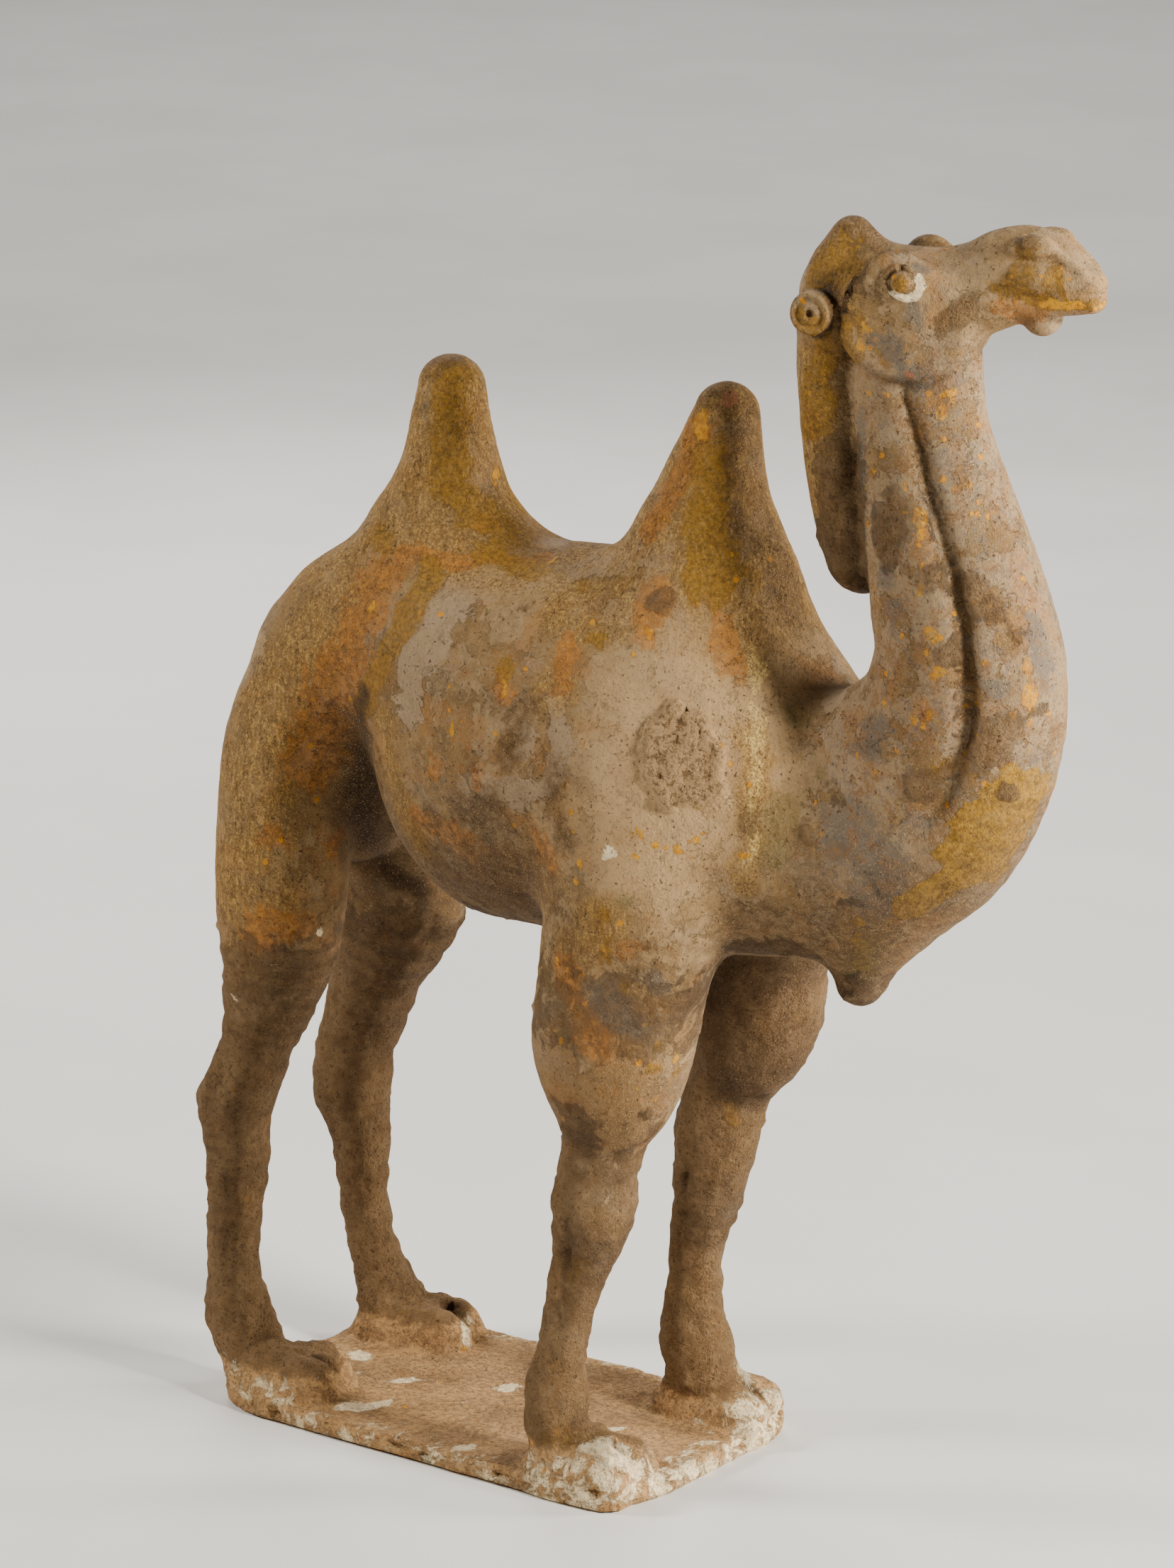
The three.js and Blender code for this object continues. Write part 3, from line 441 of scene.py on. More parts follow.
def fill_pinches(values):
    """Closes the diagonal contacts that would make two sheets share one edge."""
    square = ((0, 0), (1, 0), (0, 1), (1, 1))
    for _ in range(8):
        solid = values < 0
        changed = False
        for u, w in ((0, 1), (0, 2), (1, 2)):
            def part(du, dw):
                cut = [slice(None)] * 3
                cut[u] = slice(du, solid.shape[u] - 1 + du)
                cut[w] = slice(dw, solid.shape[w] - 1 + dw)
                return tuple(cut)
            a, b, c, d = (solid[part(*at)] for at in square)
            crossed = (a == d) & (b == c) & (a != b)
            for at in square:
                view = values[part(*at)]
                low = crossed & (view >= 0)
                if low.any():
                    view[low] = -0.01
                    changed = True
        if not changed:
            break


def skin_quads(values):
    solid = values < 0
    known = ~np.isnan(values)
    shape = np.array(values.shape) - 1
    corners = np.array(CUBE)
    count = sum(from_corner(solid, c).astype(int) for c in corners)
    good = np.logical_and.reduce([from_corner(known, c) for c in corners])
    cells = np.argwhere(good & (count > 0) & (count < 8))
    ids = -np.ones(shape, int)
    ids[tuple(cells.T)] = np.arange(len(cells))
    at = [values[tuple((cells + c).T)] for c in corners]
    total = np.zeros((len(cells), 3))
    hits = np.zeros(len(cells))
    for a in range(8):
        for b in range(a + 1, 8):
            if np.abs(corners[a] - corners[b]).sum() != 1:
                continue
            crossing = (at[a] < 0) != (at[b] < 0)
            t = np.where(crossing, at[a] / np.where(crossing, at[a] - at[b], 1), 0)
            total += np.where(crossing[:, None], corners[a] + t[:, None] * (corners[b] - corners[a]), 0)
            hits += crossing
    places = LOWEST + BODY_STEP * (cells + total / hits[:, None])
    faces = []
    for axis in range(3):
        u, w = (axis + 1) % 3, (axis + 2) % 3
        step_u, step_w = np.eye(3, dtype=int)[u], np.eye(3, dtype=int)[w]
        first, second = [slice(None)] * 3, [slice(None)] * 3
        first[axis], second[axis] = slice(0, -1), slice(1, None)
        first, second = tuple(first), tuple(second)
        e = np.argwhere((solid[first] != solid[second]) & known[first] & known[second])
        e = e[(e[:, u] > 0) & (e[:, w] > 0) & (e[:, u] < shape[u]) & (e[:, w] < shape[w])]
        shifts = (step_u + step_w, step_w, 0, step_u)
        ring = np.stack([ids[tuple((e - shift).T)] for shift in shifts], 1)
        turn = ~solid[first][tuple(e.T)]
        ring[turn] = ring[turn][:, ::-1]
        faces.append(ring[(ring >= 0).all(1)])
    return places, np.vstack(faces)


def skin_slope(points, step=0.3):
    slope = np.zeros_like(points)
    for axis in range(3):
        shift = np.zeros(3)
        shift[axis] = step
        slope[:, axis] = (camel(points + shift) - camel(points - shift)) / (2 * step)
    return slope


def settled(points, times=1):
    """Moves points onto the skin, and returns them with the outward direction there."""
    for _ in range(times):
        slope = skin_slope(points)
        size = np.maximum((slope ** 2).sum(1), 0.2)
        shift = -camel(points)[:, None] * slope / size[:, None]
        points = points + np.clip(shift, -BODY_STEP * 0.6, BODY_STEP * 0.6)
    outward = slope / np.maximum(np.linalg.norm(slope, axis=1, keepdims=True), 1e-9)
    return points, outward


def split_quads(points, quads, others, chosen):
    """Splits the chosen quads in four. Their neighbours take the new points into their borders."""
    picked = quads[chosen]
    sides = np.sort(np.stack([picked, np.roll(picked, -1, 1)], -1).reshape(-1, 2), 1)
    keys, place = np.unique(sides[:, 0] * SIDE_KEY + sides[:, 1], return_inverse=True)
    first, second = keys // SIDE_KEY, keys % SIDE_KEY
    middles = (points[first] + points[second]) / 2
    centres = points[picked].mean(1)
    start = len(points)
    heart = start + len(keys) + np.arange(len(picked))
    mid = (start + place).reshape(-1, 4)
    small = [np.stack([picked[:, n], mid[:, n], heart, mid[:, n - 1]], 1) for n in range(4)]
    new_quads = np.vstack(small)
    middle_of = dict(zip(keys.tolist(), range(start, start + len(keys))))
    kept, wide = [], []
    for face in [list(map(int, f)) for f in quads[~chosen]] + others:
        out = []
        for a, b in zip(face, face[1:] + face[:1]):
            out.append(a)
            found = middle_of.get(min(a, b) * SIDE_KEY + max(a, b))
            if found is not None:
                out.append(found)
        (kept if len(out) == 4 else wide).append(out)
    all_quads = np.vstack([new_quads, np.array(kept, int).reshape(-1, 4)])
    return np.vstack([points, middles, centres]), all_quads, wide


# The head lies above and before these planes. Its mesh is finer than that of the body.
HEAD_LOW, HEAD_REAR = 354, 108
# The mouth lies before the first plane and between the heights, in the head's frame
MOUTH_REAR, MOUTH_LOW, MOUTH_HIGH = 34, 377.5, 386.5
# The places of the eye, ear and nostril in the head's frame, and how far around them the mesh is finer
FEATURES = (((3.0, -13.5, 382.8), 10), ((-24.6, -16.5, 371.3), 8), ((37.0, -9.5, 391.0), 6))


def head_region(points):
    return (points[:, 2] > HEAD_LOW) & (points[:, 0] > HEAD_REAR)


def feature_region(points):
    local = mirrored(turned(points, HEAD_TURN, HEAD_PIVOT))
    out = (local[:, 0] > MOUTH_REAR) & (local[:, 2] < MOUTH_HIGH) & (local[:, 2] > MOUTH_LOW)
    for middle, reach in FEATURES:
        out |= np.linalg.norm(local - np.array(middle), axis=1) < reach
    return out


def skin_mesh():
    values = near_skin_values()
    fill_pinches(values)
    points, quads = skin_quads(values)
    points = settled(points)[0]
    wide = []
    for region in (head_region, feature_region):
        points, quads, wide = split_quads(points, quads, wide, region(points)[quads].all(1))
    points, outward = settled(points, 2)
    return points, outward, quads.tolist() + wide


skin, outward, faces = skin_mesh()


# Remains on the skin, and painted shade: the shade marks and part of the umber. Each kind has its
# strength on the far side, and each mark a radius and then x, y, z of the places that it runs through.
MARKS = {
    "orange": (0.85, [
        (2, -26, -33, 264), (1.8, -36, -37, 242), (1.6, 142, -14, 349), (1.6, 149, -15, 349),
        (1.8, 164, -10, 351), (1.8, 165, -10, 346), (1.6, 144, -16, 328), (1.8, 157, -18, 324),
        (2.2, 173, -11, 326), (2, 162, -19, 317, 163, -19, 311), (2, 175, -17, 306),
        (1.8, 165, -22, 297), (2.6, 171, -23, 287, 172, -23, 283), (2, 183, -20, 281),
        (2.6, 174, -24, 273), (2, 168, -26, 259), (1.8, 172, -25, 262),
        (2.4, 194, -10, 276, 195, -10, 266), (1.6, 195, -10, 259), (1.6, 87, -50, 219),
        (1.6, 92, -48, 215), (1.6, 98, -45, 213), (1.6, 104, -41, 216), (2, 115, -35, 213),
        (1.7, 86, -50, 211), (1.9, 69, -52, 206), (1.8, 78, -31, 273), (1.8, 74, -35, 266),
        (2.2, 81, -10, 335, 80, -11, 328), (1.8, -4, 2, 304), (1.6, 28, -13, 283),
        (1.6, 113, -8, 330, 116, -8, 305), (2.4, 72, 21, 112, 71, 21, 106),
        (1.6, 191, 0, 379, 198, 4, 379, 205, 9, 379), (2, 90, -37, 146), (1.8, 92, -34, 141),
        (2, 34, -45, 252), (1.8, 16, -47, 236), (2.6, 126, -13, 351), (2.2, 118, -11, 362),
        (2.2, 143, -14.6, 370, 141, -14.6, 362), (1.6, 179, -6, 393)]),
    "rust": (0.9, [
        (2.2, -21, -25, 280, -5, -23, 282, 10, -18, 281, 24, -12, 283),
        (8, -25, -29, 271, -27, -34, 261, -32, -37, 249, -38, -37, 235, -47, -33, 214),
        (3, 27, -49, 224), (2.5, 50, -35, 268, 54, -43, 255), (3, -44, -26, 187), (2.4, 11, -47, 224),
        (4, 75, -26, 284, 77, -31, 273), (5, -62, -46, 158, -50, -42, 163),
        (4.4, 62, -53, 172, 74, -53, 152), (3.4, 34, -45, 252), (3.2, 9, -46, 224),
        (4.2, 68, -20, 298, 80, -11, 328), (3, 2, -10, 290), (4, 121, -13, 337), (3.4, 171, -25, 262),
        (3.4, 163, -20, 312), (4, 20, -45, 200, -2, -42, 206), (5, 52, -48, 205), (3, 84, -52, 182),
        (4, -56, -42, 190), (3.6, 96, -22, 276, 103, -22, 262), (3, 182, -3, 376, 190, 1, 377)]),
    "mustard": (0.85, [
        (3.6, -7, -25, 279, -6, -29, 273, -9, -34, 266),
        (4, -10, -34, 265, -12, -38, 255, -19, -40, 244, -26, -38, 235), (4.5, -31, -21, 283),
        (5, -11, -11, 308, -10, -14, 300, -1, -9, 293, 7, -5, 288, 22, -4, 285), (3, 34, -43, 256),
        (5, -14, -5, 336, -12, -10, 314), (2.8, -4, -37, 198, 9, -33, 185),
        (6.5, 85, -12, 319, 87, -15, 306, 91, -20, 288), (2.4, 98, -13, 289), (2.4, 102, -10, 286),
        (1.8, 78, -53, 192, 78, -53, 178), (2.8, 143, -31, 218), (4.6, 127, -12, 360, 123, -13, 345),
        (2.6, 131, -10, 293), (3, 173, -26, 246), (2, 87, -43, 144), (2.4, 89, -41, 152),
        (1.8, 90, -35, 141), (2.4, 81, -51, 169), (2.2, -51, 26, 129), (1.8, -74, -34, 33),
        (2.2, -57, -36, 18), (1.8, 61, -43, 79, 55, -43, 71), (1.8, 51, -43, 42),
        (2.6, 50, -45, 20, 56, -41, 21, 62, -33, 20), (2, 66, -37, 17), (2.4, 65, 20, 86),
        (1.6, 60, 31, 42, 62, 28, 33), (4.2, 127, -12, 386, 124, -12, 377, 128, -14, 368),
        (3.6, 137, -17, 368, 136, -17, 361), (2.8, 148, -15.6, 361), (2.2, 48, -23, 280),
        (3, 60, -34, 269), (3.2, 112, -6, 350, 114, -6, 318),
        (5, -6, -10, 294, 1, -8, 291, 10, -2, 287, 18, 5, 284), (4, 8, -16, 284, 26, -18, 282),
        (3.8, 181, -3, 384, 188, -1, 385, 194, 1, 385), (3, 187, -3, 393), (2.6, 155, -18, 382.8),
        (2, 188, 0, 379, 197, 2, 379, 204, 6, 379), (3, 131, -9, 393, 133, -13, 382),
        (2.4, 140, -17, 370, 146, -15, 365), (3, 123, -13, 354, 127, -13, 338), (2, 134, -10, 359),
        (4, 124, -21, 368, 120, -13, 337)]),
    "pale": (0.9, [
        (3.4, 77, -21, 295, 77, -26, 285, 83, -27, 277), (2.6, 140, -17, 366), (2.4, 131, -13, 368),
        (7, 6, -26, 276, 4, -35, 265, -1, -41, 253, -3, -44, 240),
        (5, 11, -25, 276, 28, -23, 278, 41, -16, 283, 63, -21, 291), (3, -21, -34, 264),
        (4, 53, -44, 252, 58, -48, 241, 56, -50, 227, 40, -49, 221, 27, -49, 223), (4, -42, -35, 230),
        (2.6, -48, -35, 218, -50, -37, 210), (5.4, 74, -20, 297, 72, -27, 282, 64, -31, 274),
        (1.8, -9, -5, 326, -8, -6, 316), (3, 152, -14, 391, 170, -6, 391), (3, 160, -14, 366),
        (5, 45, -49, 238), (4, 110, -38, 200), (4, 180, -20, 300, 186, -18, 276), (3, 150, -18, 338),
        (3, 96, -3, 304), (5, 126, -6, 256, 147, -28, 239)]),
    "crust": (0.8, [
        (3.4, 78, -27, 280), (5, 108, -22, 179, 122, -18, 181),
        (7.5, 131, -12, 326, 132, -13, 314, 130, -12, 300), (4.6, 153, -19, 318, 152, -20, 306),
        (3, 167, -21, 299), (3.8, 181, -16, 297, 186, -14, 292), (2.8, 190, -10, 286),
        (3.6, 175, -23, 279), (4.2, 170, -27, 242), (4.4, 191, -16, 260, 188, -19, 252),
        (2.4, 197, -7, 263), (2.8, 192, -12, 240), (10, 80, 11, 156, 80, 12, 138),
        (3.6, 170, -6, 376, 165, -9, 371), (2.6, 142, -10, 388.6, 150, -11, 389), (2.2, 140, -14, 380),
        (4.4, 137, -5, 392, 132, -3, 394), (3.4, 146, -13, 392, 152, -12, 394), (3, 140, -15, 386),
        (2.4, 126, -17, 364), (3, 124, -10, 300), (2.2, 83, -40, 128), (3.6, -47, 20, 168),
        (3.4, 116, -33, 222), (4, 140, -32, 236), (3, 187, -2, 397), (3, 134, -30, 222),
        (3, 60, -52, 128, 70, -52, 126), (3, 146, -30, 200)]),
    "slate": (0.8, [
        (9, 146, -31, 224, 158, -28, 214, 153, -24, 204), (4.8, 76, -53, 165, 84, -49, 158),
        (4.6, 91, -45, 172), (4.2, 153, -20, 298), (4.6, 158, -22, 288), (5.4, 152, -25, 253),
        (4.4, 194, -6, 288, 198, -4, 274), (2.6, 65, -38, 75), (3, 80, 11, 145),
        (2.6, 138, -12.6, 343, 139, -13, 325, 140, -14, 309), (2.2, 74, 27, 94),
        (1.6, 157, -12, 386, 164, -8, 386), (3.2, 160, -12, 357, 152, -15, 353),
        (4, 146, -15, 366, 152, -15, 360), (2, -22, -11, 321), (5, 166, -22, 232), (3.2, 140, -33, 232),
        (3.6, 156, -14, 374), (2.6, 128, -16, 378), (4, 186, -16, 270)]),
    "moss": (0.8, [
        (2.4, 38, -48, 237), (3.6, 120, -18, 251), (5, 125, -30, 228, 122, -32, 214),
        (2.8, 135, -26, 239), (2, -71, 28, 80), (2.6, 84, -50, 196),
        (5, 146, -16, 186, 138, -10, 176)]),
    "white": (0.8, [
        (1.7, 78, -52, 214, 79, -52, 211), (1.6, -45, -34, 158), (1.6, -56, -43, 150),
        (1.6, -72, -44, 136), (3.4, -34, -7, 6), (3.6, -34, -34, 6, -28, -26, 6), (3.4, -5, 7, 6),
        (3, -26, -47, 3), (2.8, 4, -47, 3), (2.2, 79, -23, 5), (2.4, 80, 13, 3), (4, 76, 23, 13),
        (5, 67, -39, 17, 72, -35, 11), (3, 14, -40, 6), (3.4, 40, 40, 6), (2.8, -10, 40, 6),
        (2.4, 60, -10, 6), (3.4, -60, 2, 6), (2.4, 44, 2, 6, 30, -8, 6)]),
    "red": (0.6, [
        (1.6, 155, -14, 356), (3, 88, -5, 339), (1.6, -14, -47, 5), (1.6, -20, -47, 4)]),
    # Umber soil in places, and painted shade low on the barrel, on the belly and in the flank crease
    "umber_soil_and_shade": (0.9, [
        (5, 108, -22, 179, 122, -18, 181), (4.2, 132, -12, 326, 132, -12, 306),
        (9, 80, 11, 160, 80, 12, 142), (3, 90, -6, 336, 92, -8, 316, 97, -9, 298),
        (6.5, -24, -32, 216, -30, -28, 203, -42, -8, 186), (6, 43, -46, 247, 38, -50, 232),
        (6, 34, -49, 216, 20, -48, 212), (5, 7, -44, 208), (6, 60, -48, 190),
        (5, 58, -50, 230, 60, -52, 210), (6, 100, 8, 262), (7, -19, -4, 342, -19, -2, 334),
        (7, 78, -4, 348, 78, -6, 340), (8, 60, -46, 182, 84, -44, 178), (12, 8, -32, 186, 34, -38, 184),
        (9, 47, -45, 197, 20, -44, 192), (3, 138, -16, 371), (12, 72, 12, 150, 76, 16, 128)]),
    "wash": (1, [
        (10, -30, -28, 268, -56, -34, 238, -62, -42, 205, -60, -45, 175),
        (8, -66, -38, 215, -74, -34, 190, -70, -42, 168), (8, -20, -18, 300, -24, -8, 328),
        (11, 84, -22, 300, 70, -26, 284, 50, -28, 276), (9, 20, -20, 282, -10, -20, 286),
        (5, -16, -42, 232, -10, -42, 210, -4, -38, 196), (6, -66, -44, 150),
        (4, 114, -30, 246, 116, -33, 226, 115, -34, 205), (6, 78, -50, 190, 66, -52, 180),
        (8, 118, -10, 350, 122, -10, 320), (6, 135, -14, 372, 128, -12, 386), (6, 52, -44, 254)]),
    "glint": (0.9, [
        (1.9, 105, -18, 272, 108, -20, 263, 114, -29, 244, 117, -35, 218, 114, -37, 206)]),
    "yellow": (0.9, [
        (9, 191, -9, 236, 187, -12, 230, 182, -16, 223, 183, -12, 217),
        (4.6, 174, -18, 210, 162, -21, 201), (2.2, 146, -24, 194, 140, -12, 176)]),
    # Painted shadow in the flank crease, down between the hind legs
    "shade": (1, [
        (3.2, -24, -37, 240, -28, -35, 230),
        (5.5, -30, -33, 226, -36, -22, 207, -42, -15, 192, -53, 4, 173),
        (4, -52, 7, 168, -43, 12, 163)]),
    "dots": (1, [
        (14, 83, -51, 216), (10, 107, -39, 213), (8, 91, -48, 204), (12, 74, -50, 160, 84, -46, 145),
        (8, -10, -30, 270, -40, -36, 225), (8, 20, -44, 240), (10, -56, -42, 175), (8, 92, -18, 290),
        (8, 128, -16, 365)]),
}
# The marks wander by this much. Those of the far side are shifted, and begin left of this plane.
MARK_WOBBLE, FAR_SHIFT, FAR_SIDE = 8.5, (6.0, 0.0, -5.0), 6
EYE_PLACE = np.array((155.0, -17.0, 382.8))
BARREL_MIDDLE, NEAR_SHOULDER, FAR_SHOULDER = (26, 0, 222), (94, -40, 236), (92, 40, 236)
# The mud ring on the shoulder
RING_PLACE, RING_WIDE, RING_HIGH, RING_DEEP = np.array((97.0, -42.0, 239.0)), 12.0, 14.5, 18


def swept(points, runs, spread=2.0):
    """1 on the line of a mark, 0.5 on its drawn border and 0 at twice its radius."""
    value = np.zeros(len(points))
    for radius, *places in runs:
        rows = [(*places[n:n + 3], 0.0) for n in range(0, len(places), 3)]
        distance = thread(points, rows, radius * spread + 1, per=3)
        value = np.maximum(value, np.clip(1 - distance / (radius * spread), 0, 1))
    return value


def marked_skin(points):
    """Each kind of mark on the seen side, and the same kinds in shifted places on the far side."""
    wobble = np.stack([grain(points, 8, seed, 3) - 0.5 for seed in (11, 12, 13)], 1) * MARK_WOBBLE
    across = points * np.array((1, -1, 1)) + np.array(FAR_SHIFT) + wobble
    out = {}
    for word, (far_share, runs) in MARKS.items():
        near = swept(points + wobble, runs)
        far = swept(across, runs) * far_share
        out[word] = np.where(points[:, 1] > FAR_SIDE, np.maximum(near, far), near)
    return out


# A turn that keeps the rows of the noise lattice from showing as level stripes
ASKEW = np.array(((0.36, 0.48, -0.8), (-0.8, 0.6, 0), (0.48, 0.64, 0.6)))


def within(*steps):
    """The product of smooth steps, each a value and the limits where its step begins and ends."""
    out = 1.0
    for value, low, high in steps:
        out = out * smooth_step(value, low, high)
    return out


def leg_soil(points):
    """How far the burial soil covers the legs: the border lies where it is 0.5."""
    x, y, z = points.T
    fore = smooth_step(x, 20, 40)
    hind = within((x, -30, -46), (z, 184, 118))
    near_fore = fore * within((y, 2, -6), (z, 150, 98)) * 0.62
    worn_front = 0.35 * within((z, 112, 84), (x, 58, 66))
    far_fore = fore * within((y, 0, 8), (z, 184, 128)) * (0.9 - worn_front)
    cover = hind + near_fore + far_fore
    islands = (grain(points @ ASKEW, 12, 21, 2) - 0.5) * 0.8
    return np.clip(cover + islands * smooth_step(cover, 0.05, 0.35), 0, 1) * smooth_step(z, 8, 22)


def mud_ring(points, middle, fine):
    """The dried mud on the shoulder, and its raised rim."""
    ring = points - RING_PLACE
    across, deep = ring[:, 0] * 0.8 + ring[:, 1] * 0.6, ring[:, 0] * 0.6 - ring[:, 1] * 0.8
    away = np.hypot(across / RING_WIDE, ring[:, 2] / RING_HIGH)
    away = away + (middle - 0.5) * 0.55 + (fine - 0.5) * 0.5
    mud = smooth_step(away, 1.02, 0.9) * (np.abs(deep) < RING_DEEP)
    return mud, np.exp(-((away - 0.9) / 0.1) ** 2) * (mud > 0.02)


def eye_paint(points, fine):
    """A white ring around each eye, open at its upper back."""
    near = np.linalg.norm(points - EYE_PLACE, axis=1)
    far = np.linalg.norm(points - EYE_PLACE * (1, -1, 1), axis=1)
    away = np.minimum(near, far) + (fine - 0.5) * 1.6
    low = points[:, 0] - EYE_PLACE[0] - 1.4 * (points[:, 2] - EYE_PLACE[2])
    return within((away, 2.6, 3.8), (away, 7.6, 5.6), (low, -3.5, 0.5))


def shoulder_light(points):
    """Where the slip on the shoulders is rubbed pale."""
    near = np.linalg.norm((points - NEAR_SHOULDER) * (1, 0.5, 0.7), axis=1)
    far = np.linalg.norm((points - FAR_SHOULDER) * (1, 0.5, 0.7), axis=1)
    return np.maximum(smooth_step(near, 44, 16), smooth_step(far, 42, 18) * 0.8)


def painted_skin(points, outward):
    """Relief along the skin's outward direction, and the weight of each colour at each point."""
    x, y, z = points.T
    side, level = np.abs(y), np.abs(outward[:, 2])
    askew = points @ ASKEW
    broad, middle = grain(points, 34, 1, 2), grain(points, 11, 2, 2)
    fine, crumb = grain(askew, 5, 3, 2), grain(askew, 3.4, 4, 1)
    shown = marked_skin(points)
    wash = shown.pop("wash")
    mud, rim = mud_ring(points, middle, fine)

    # Hollows, from how far the skin is from a point held off it; they get dirt and painted shade
    hollow_dirt_and_shade = smooth_step(5 - camel(points + outward * 5), 0.5, 3.4)
    # Deep hollows and the inner side of the far knee: painted shade
    deep = smooth_step(16 - camel(points + outward * 16), 2.5, 12)
    far_knee_shade = within((y, 2, 12), (x, 40, 60), (z, 185, 165), (z, 96, 130), (outward[:, 1], 0.3, -0.4))
    belly = within((z, 184, 168), (z, 140, 150), (x, -20, 0)) * 0.4
    crust = np.clip(np.maximum(shown["crust"], leg_soil(points) + belly) + 0.3 * hollow_dirt_and_shade, 0, 1)
    top_wash = 0.75 * within((z, 238, 264), (side, 40, 12), (x, 118, 100))
    low = smooth_step(z, 26, 13)
    slab_border = np.maximum(smooth_step(side, 34, 46), smooth_step(x, 62, 80))
    slab_slip = 0.06 + 0.34 * grain(points, 9, 22, 2) + 0.2 * slab_border + 0.1 * smooth_step(x, 30, 80)
    brow_light = 0.25 * within((z, 360, 380), (x, 150, 175))
    from_barrel = np.linalg.norm((points - BARREL_MIDDLE) * (0.7, 0.2, 0.9), axis=1)
    white = np.maximum(shown["white"], eye_paint(points, fine) * 0.75)
    colours = {
        **shown,
        "gold": np.maximum(wash, top_wash),
        "bloom": np.clip(shoulder_light(points) * 0.75 + brow_light, 0, 1),
        "cream": low,
        "barrel": smooth_step(from_barrel, 54, 22),
        "crust": crust,
        "mud": mud,
        "white": np.maximum(white, low * slab_slip),
        "dots": np.maximum(shown["dots"], 0.55 * within((x, 128, 146), (z, 200, 220))),
        "hollow_dirt_and_shade": hollow_dirt_and_shade,
        "deep": np.maximum(deep, 0.5 * far_knee_shade),
        # Painted shade on surfaces that face down
        "underside_shade": within((outward[:, 2], 0.1, -0.6), (z, 12, 60), (z, 380, 330)),
        "neck": within((x, 128, 146), (z, 196, 215), (z, 372, 352)),
        "legs": within((z, 190, 140), (z, 9, 20)),
    }

    # Relief in millimetres: uneven hand work, soil, mud, slip, the slab's worn edge and top, the feet
    relief = (broad - 0.5) * 1.0 + (middle - 0.5) * 0.6 + (fine - 0.5) * 0.3
    lumpy = smooth_step(crust + (fine - 0.5) * 0.6, 0.4, 0.62)
    relief += lumpy * ((fine - 0.35) * 1.3 + (crumb - 0.4) * 1.5)
    relief += mud * (0.7 + (crumb - 0.35) * 2.8 + (fine - 0.4) * 1.4) + rim * 1.3
    relief += smooth_step(colours["pale"] + (fine - 0.5) * 0.4, 0.45, 0.55) * 0.22
    edge_wear = within((z, 9, 6.5), (level, 0.97, 0.75), (z, 0.6, 2))
    chips = smooth_step(grain(points, 8, 8, 2), 0.5, 0.74)
    relief -= edge_wear * (0.5 + 3.0 * chips + (fine - 0.5) * 1.2)
    slab_top = within((z, 8.5, 6.5), (outward[:, 2], 0.8, 0.95))
    relief += slab_top * ((grain(points, 16, 9, 2) - 0.55) * 1.3 + (crumb - 0.4) * 0.5)
    feet = within((z, 26, 18), (z, 6.5, 9))
    relief += feet * ((fine - 0.5) * 1.3 + (crumb - 0.5) * 0.7)
    # The head is smoother, and the underside stays flat
    relief *= 1 - 0.45 * within((z, 356, 364), (x, 104, 112))
    relief *= smooth_step(z, 0.3, 1.4)
    return relief, colours


relief, colours = painted_skin(skin, outward)
skin = skin + outward * relief[:, None]
skin[:, 2] = np.maximum(skin[:, 2], 0)


def placed(name, data):
    """A new object in the scene, with this name and data."""
    item = bpy.data.objects.new(name, data)
    bpy.context.scene.collection.objects.link(item)
    return item


def skin_object(name):
    mesh = bpy.data.meshes.new(name)
    mesh.from_pydata((skin * MM).tolist(), [], faces)
    mesh.validate()
    mesh.polygons.foreach_set("use_smooth", [True] * len(mesh.polygons))
    for word, values in colours.items():
        layer = mesh.attributes.new(word, "FLOAT", "POINT")
        layer.data.foreach_set("value", np.ascontiguousarray(values, dtype=np.float32))
    mesh.update()
    return placed(name, mesh)


# Material
def linear(red, green, blue):
    """A screen colour from 0 to 255 as the linear colour that a shader takes."""
    out = []
    for value in (red, green, blue):
        value /= 255
        out.append(value / 12.92 if value <= 0.04045 else ((value + 0.055) / 1.055) ** 2.4)
    return (*out, 1.0)


# The colour sockets of a mix node
COLOUR_A, COLOUR_B, COLOUR_RESULT = 6, 7, 2


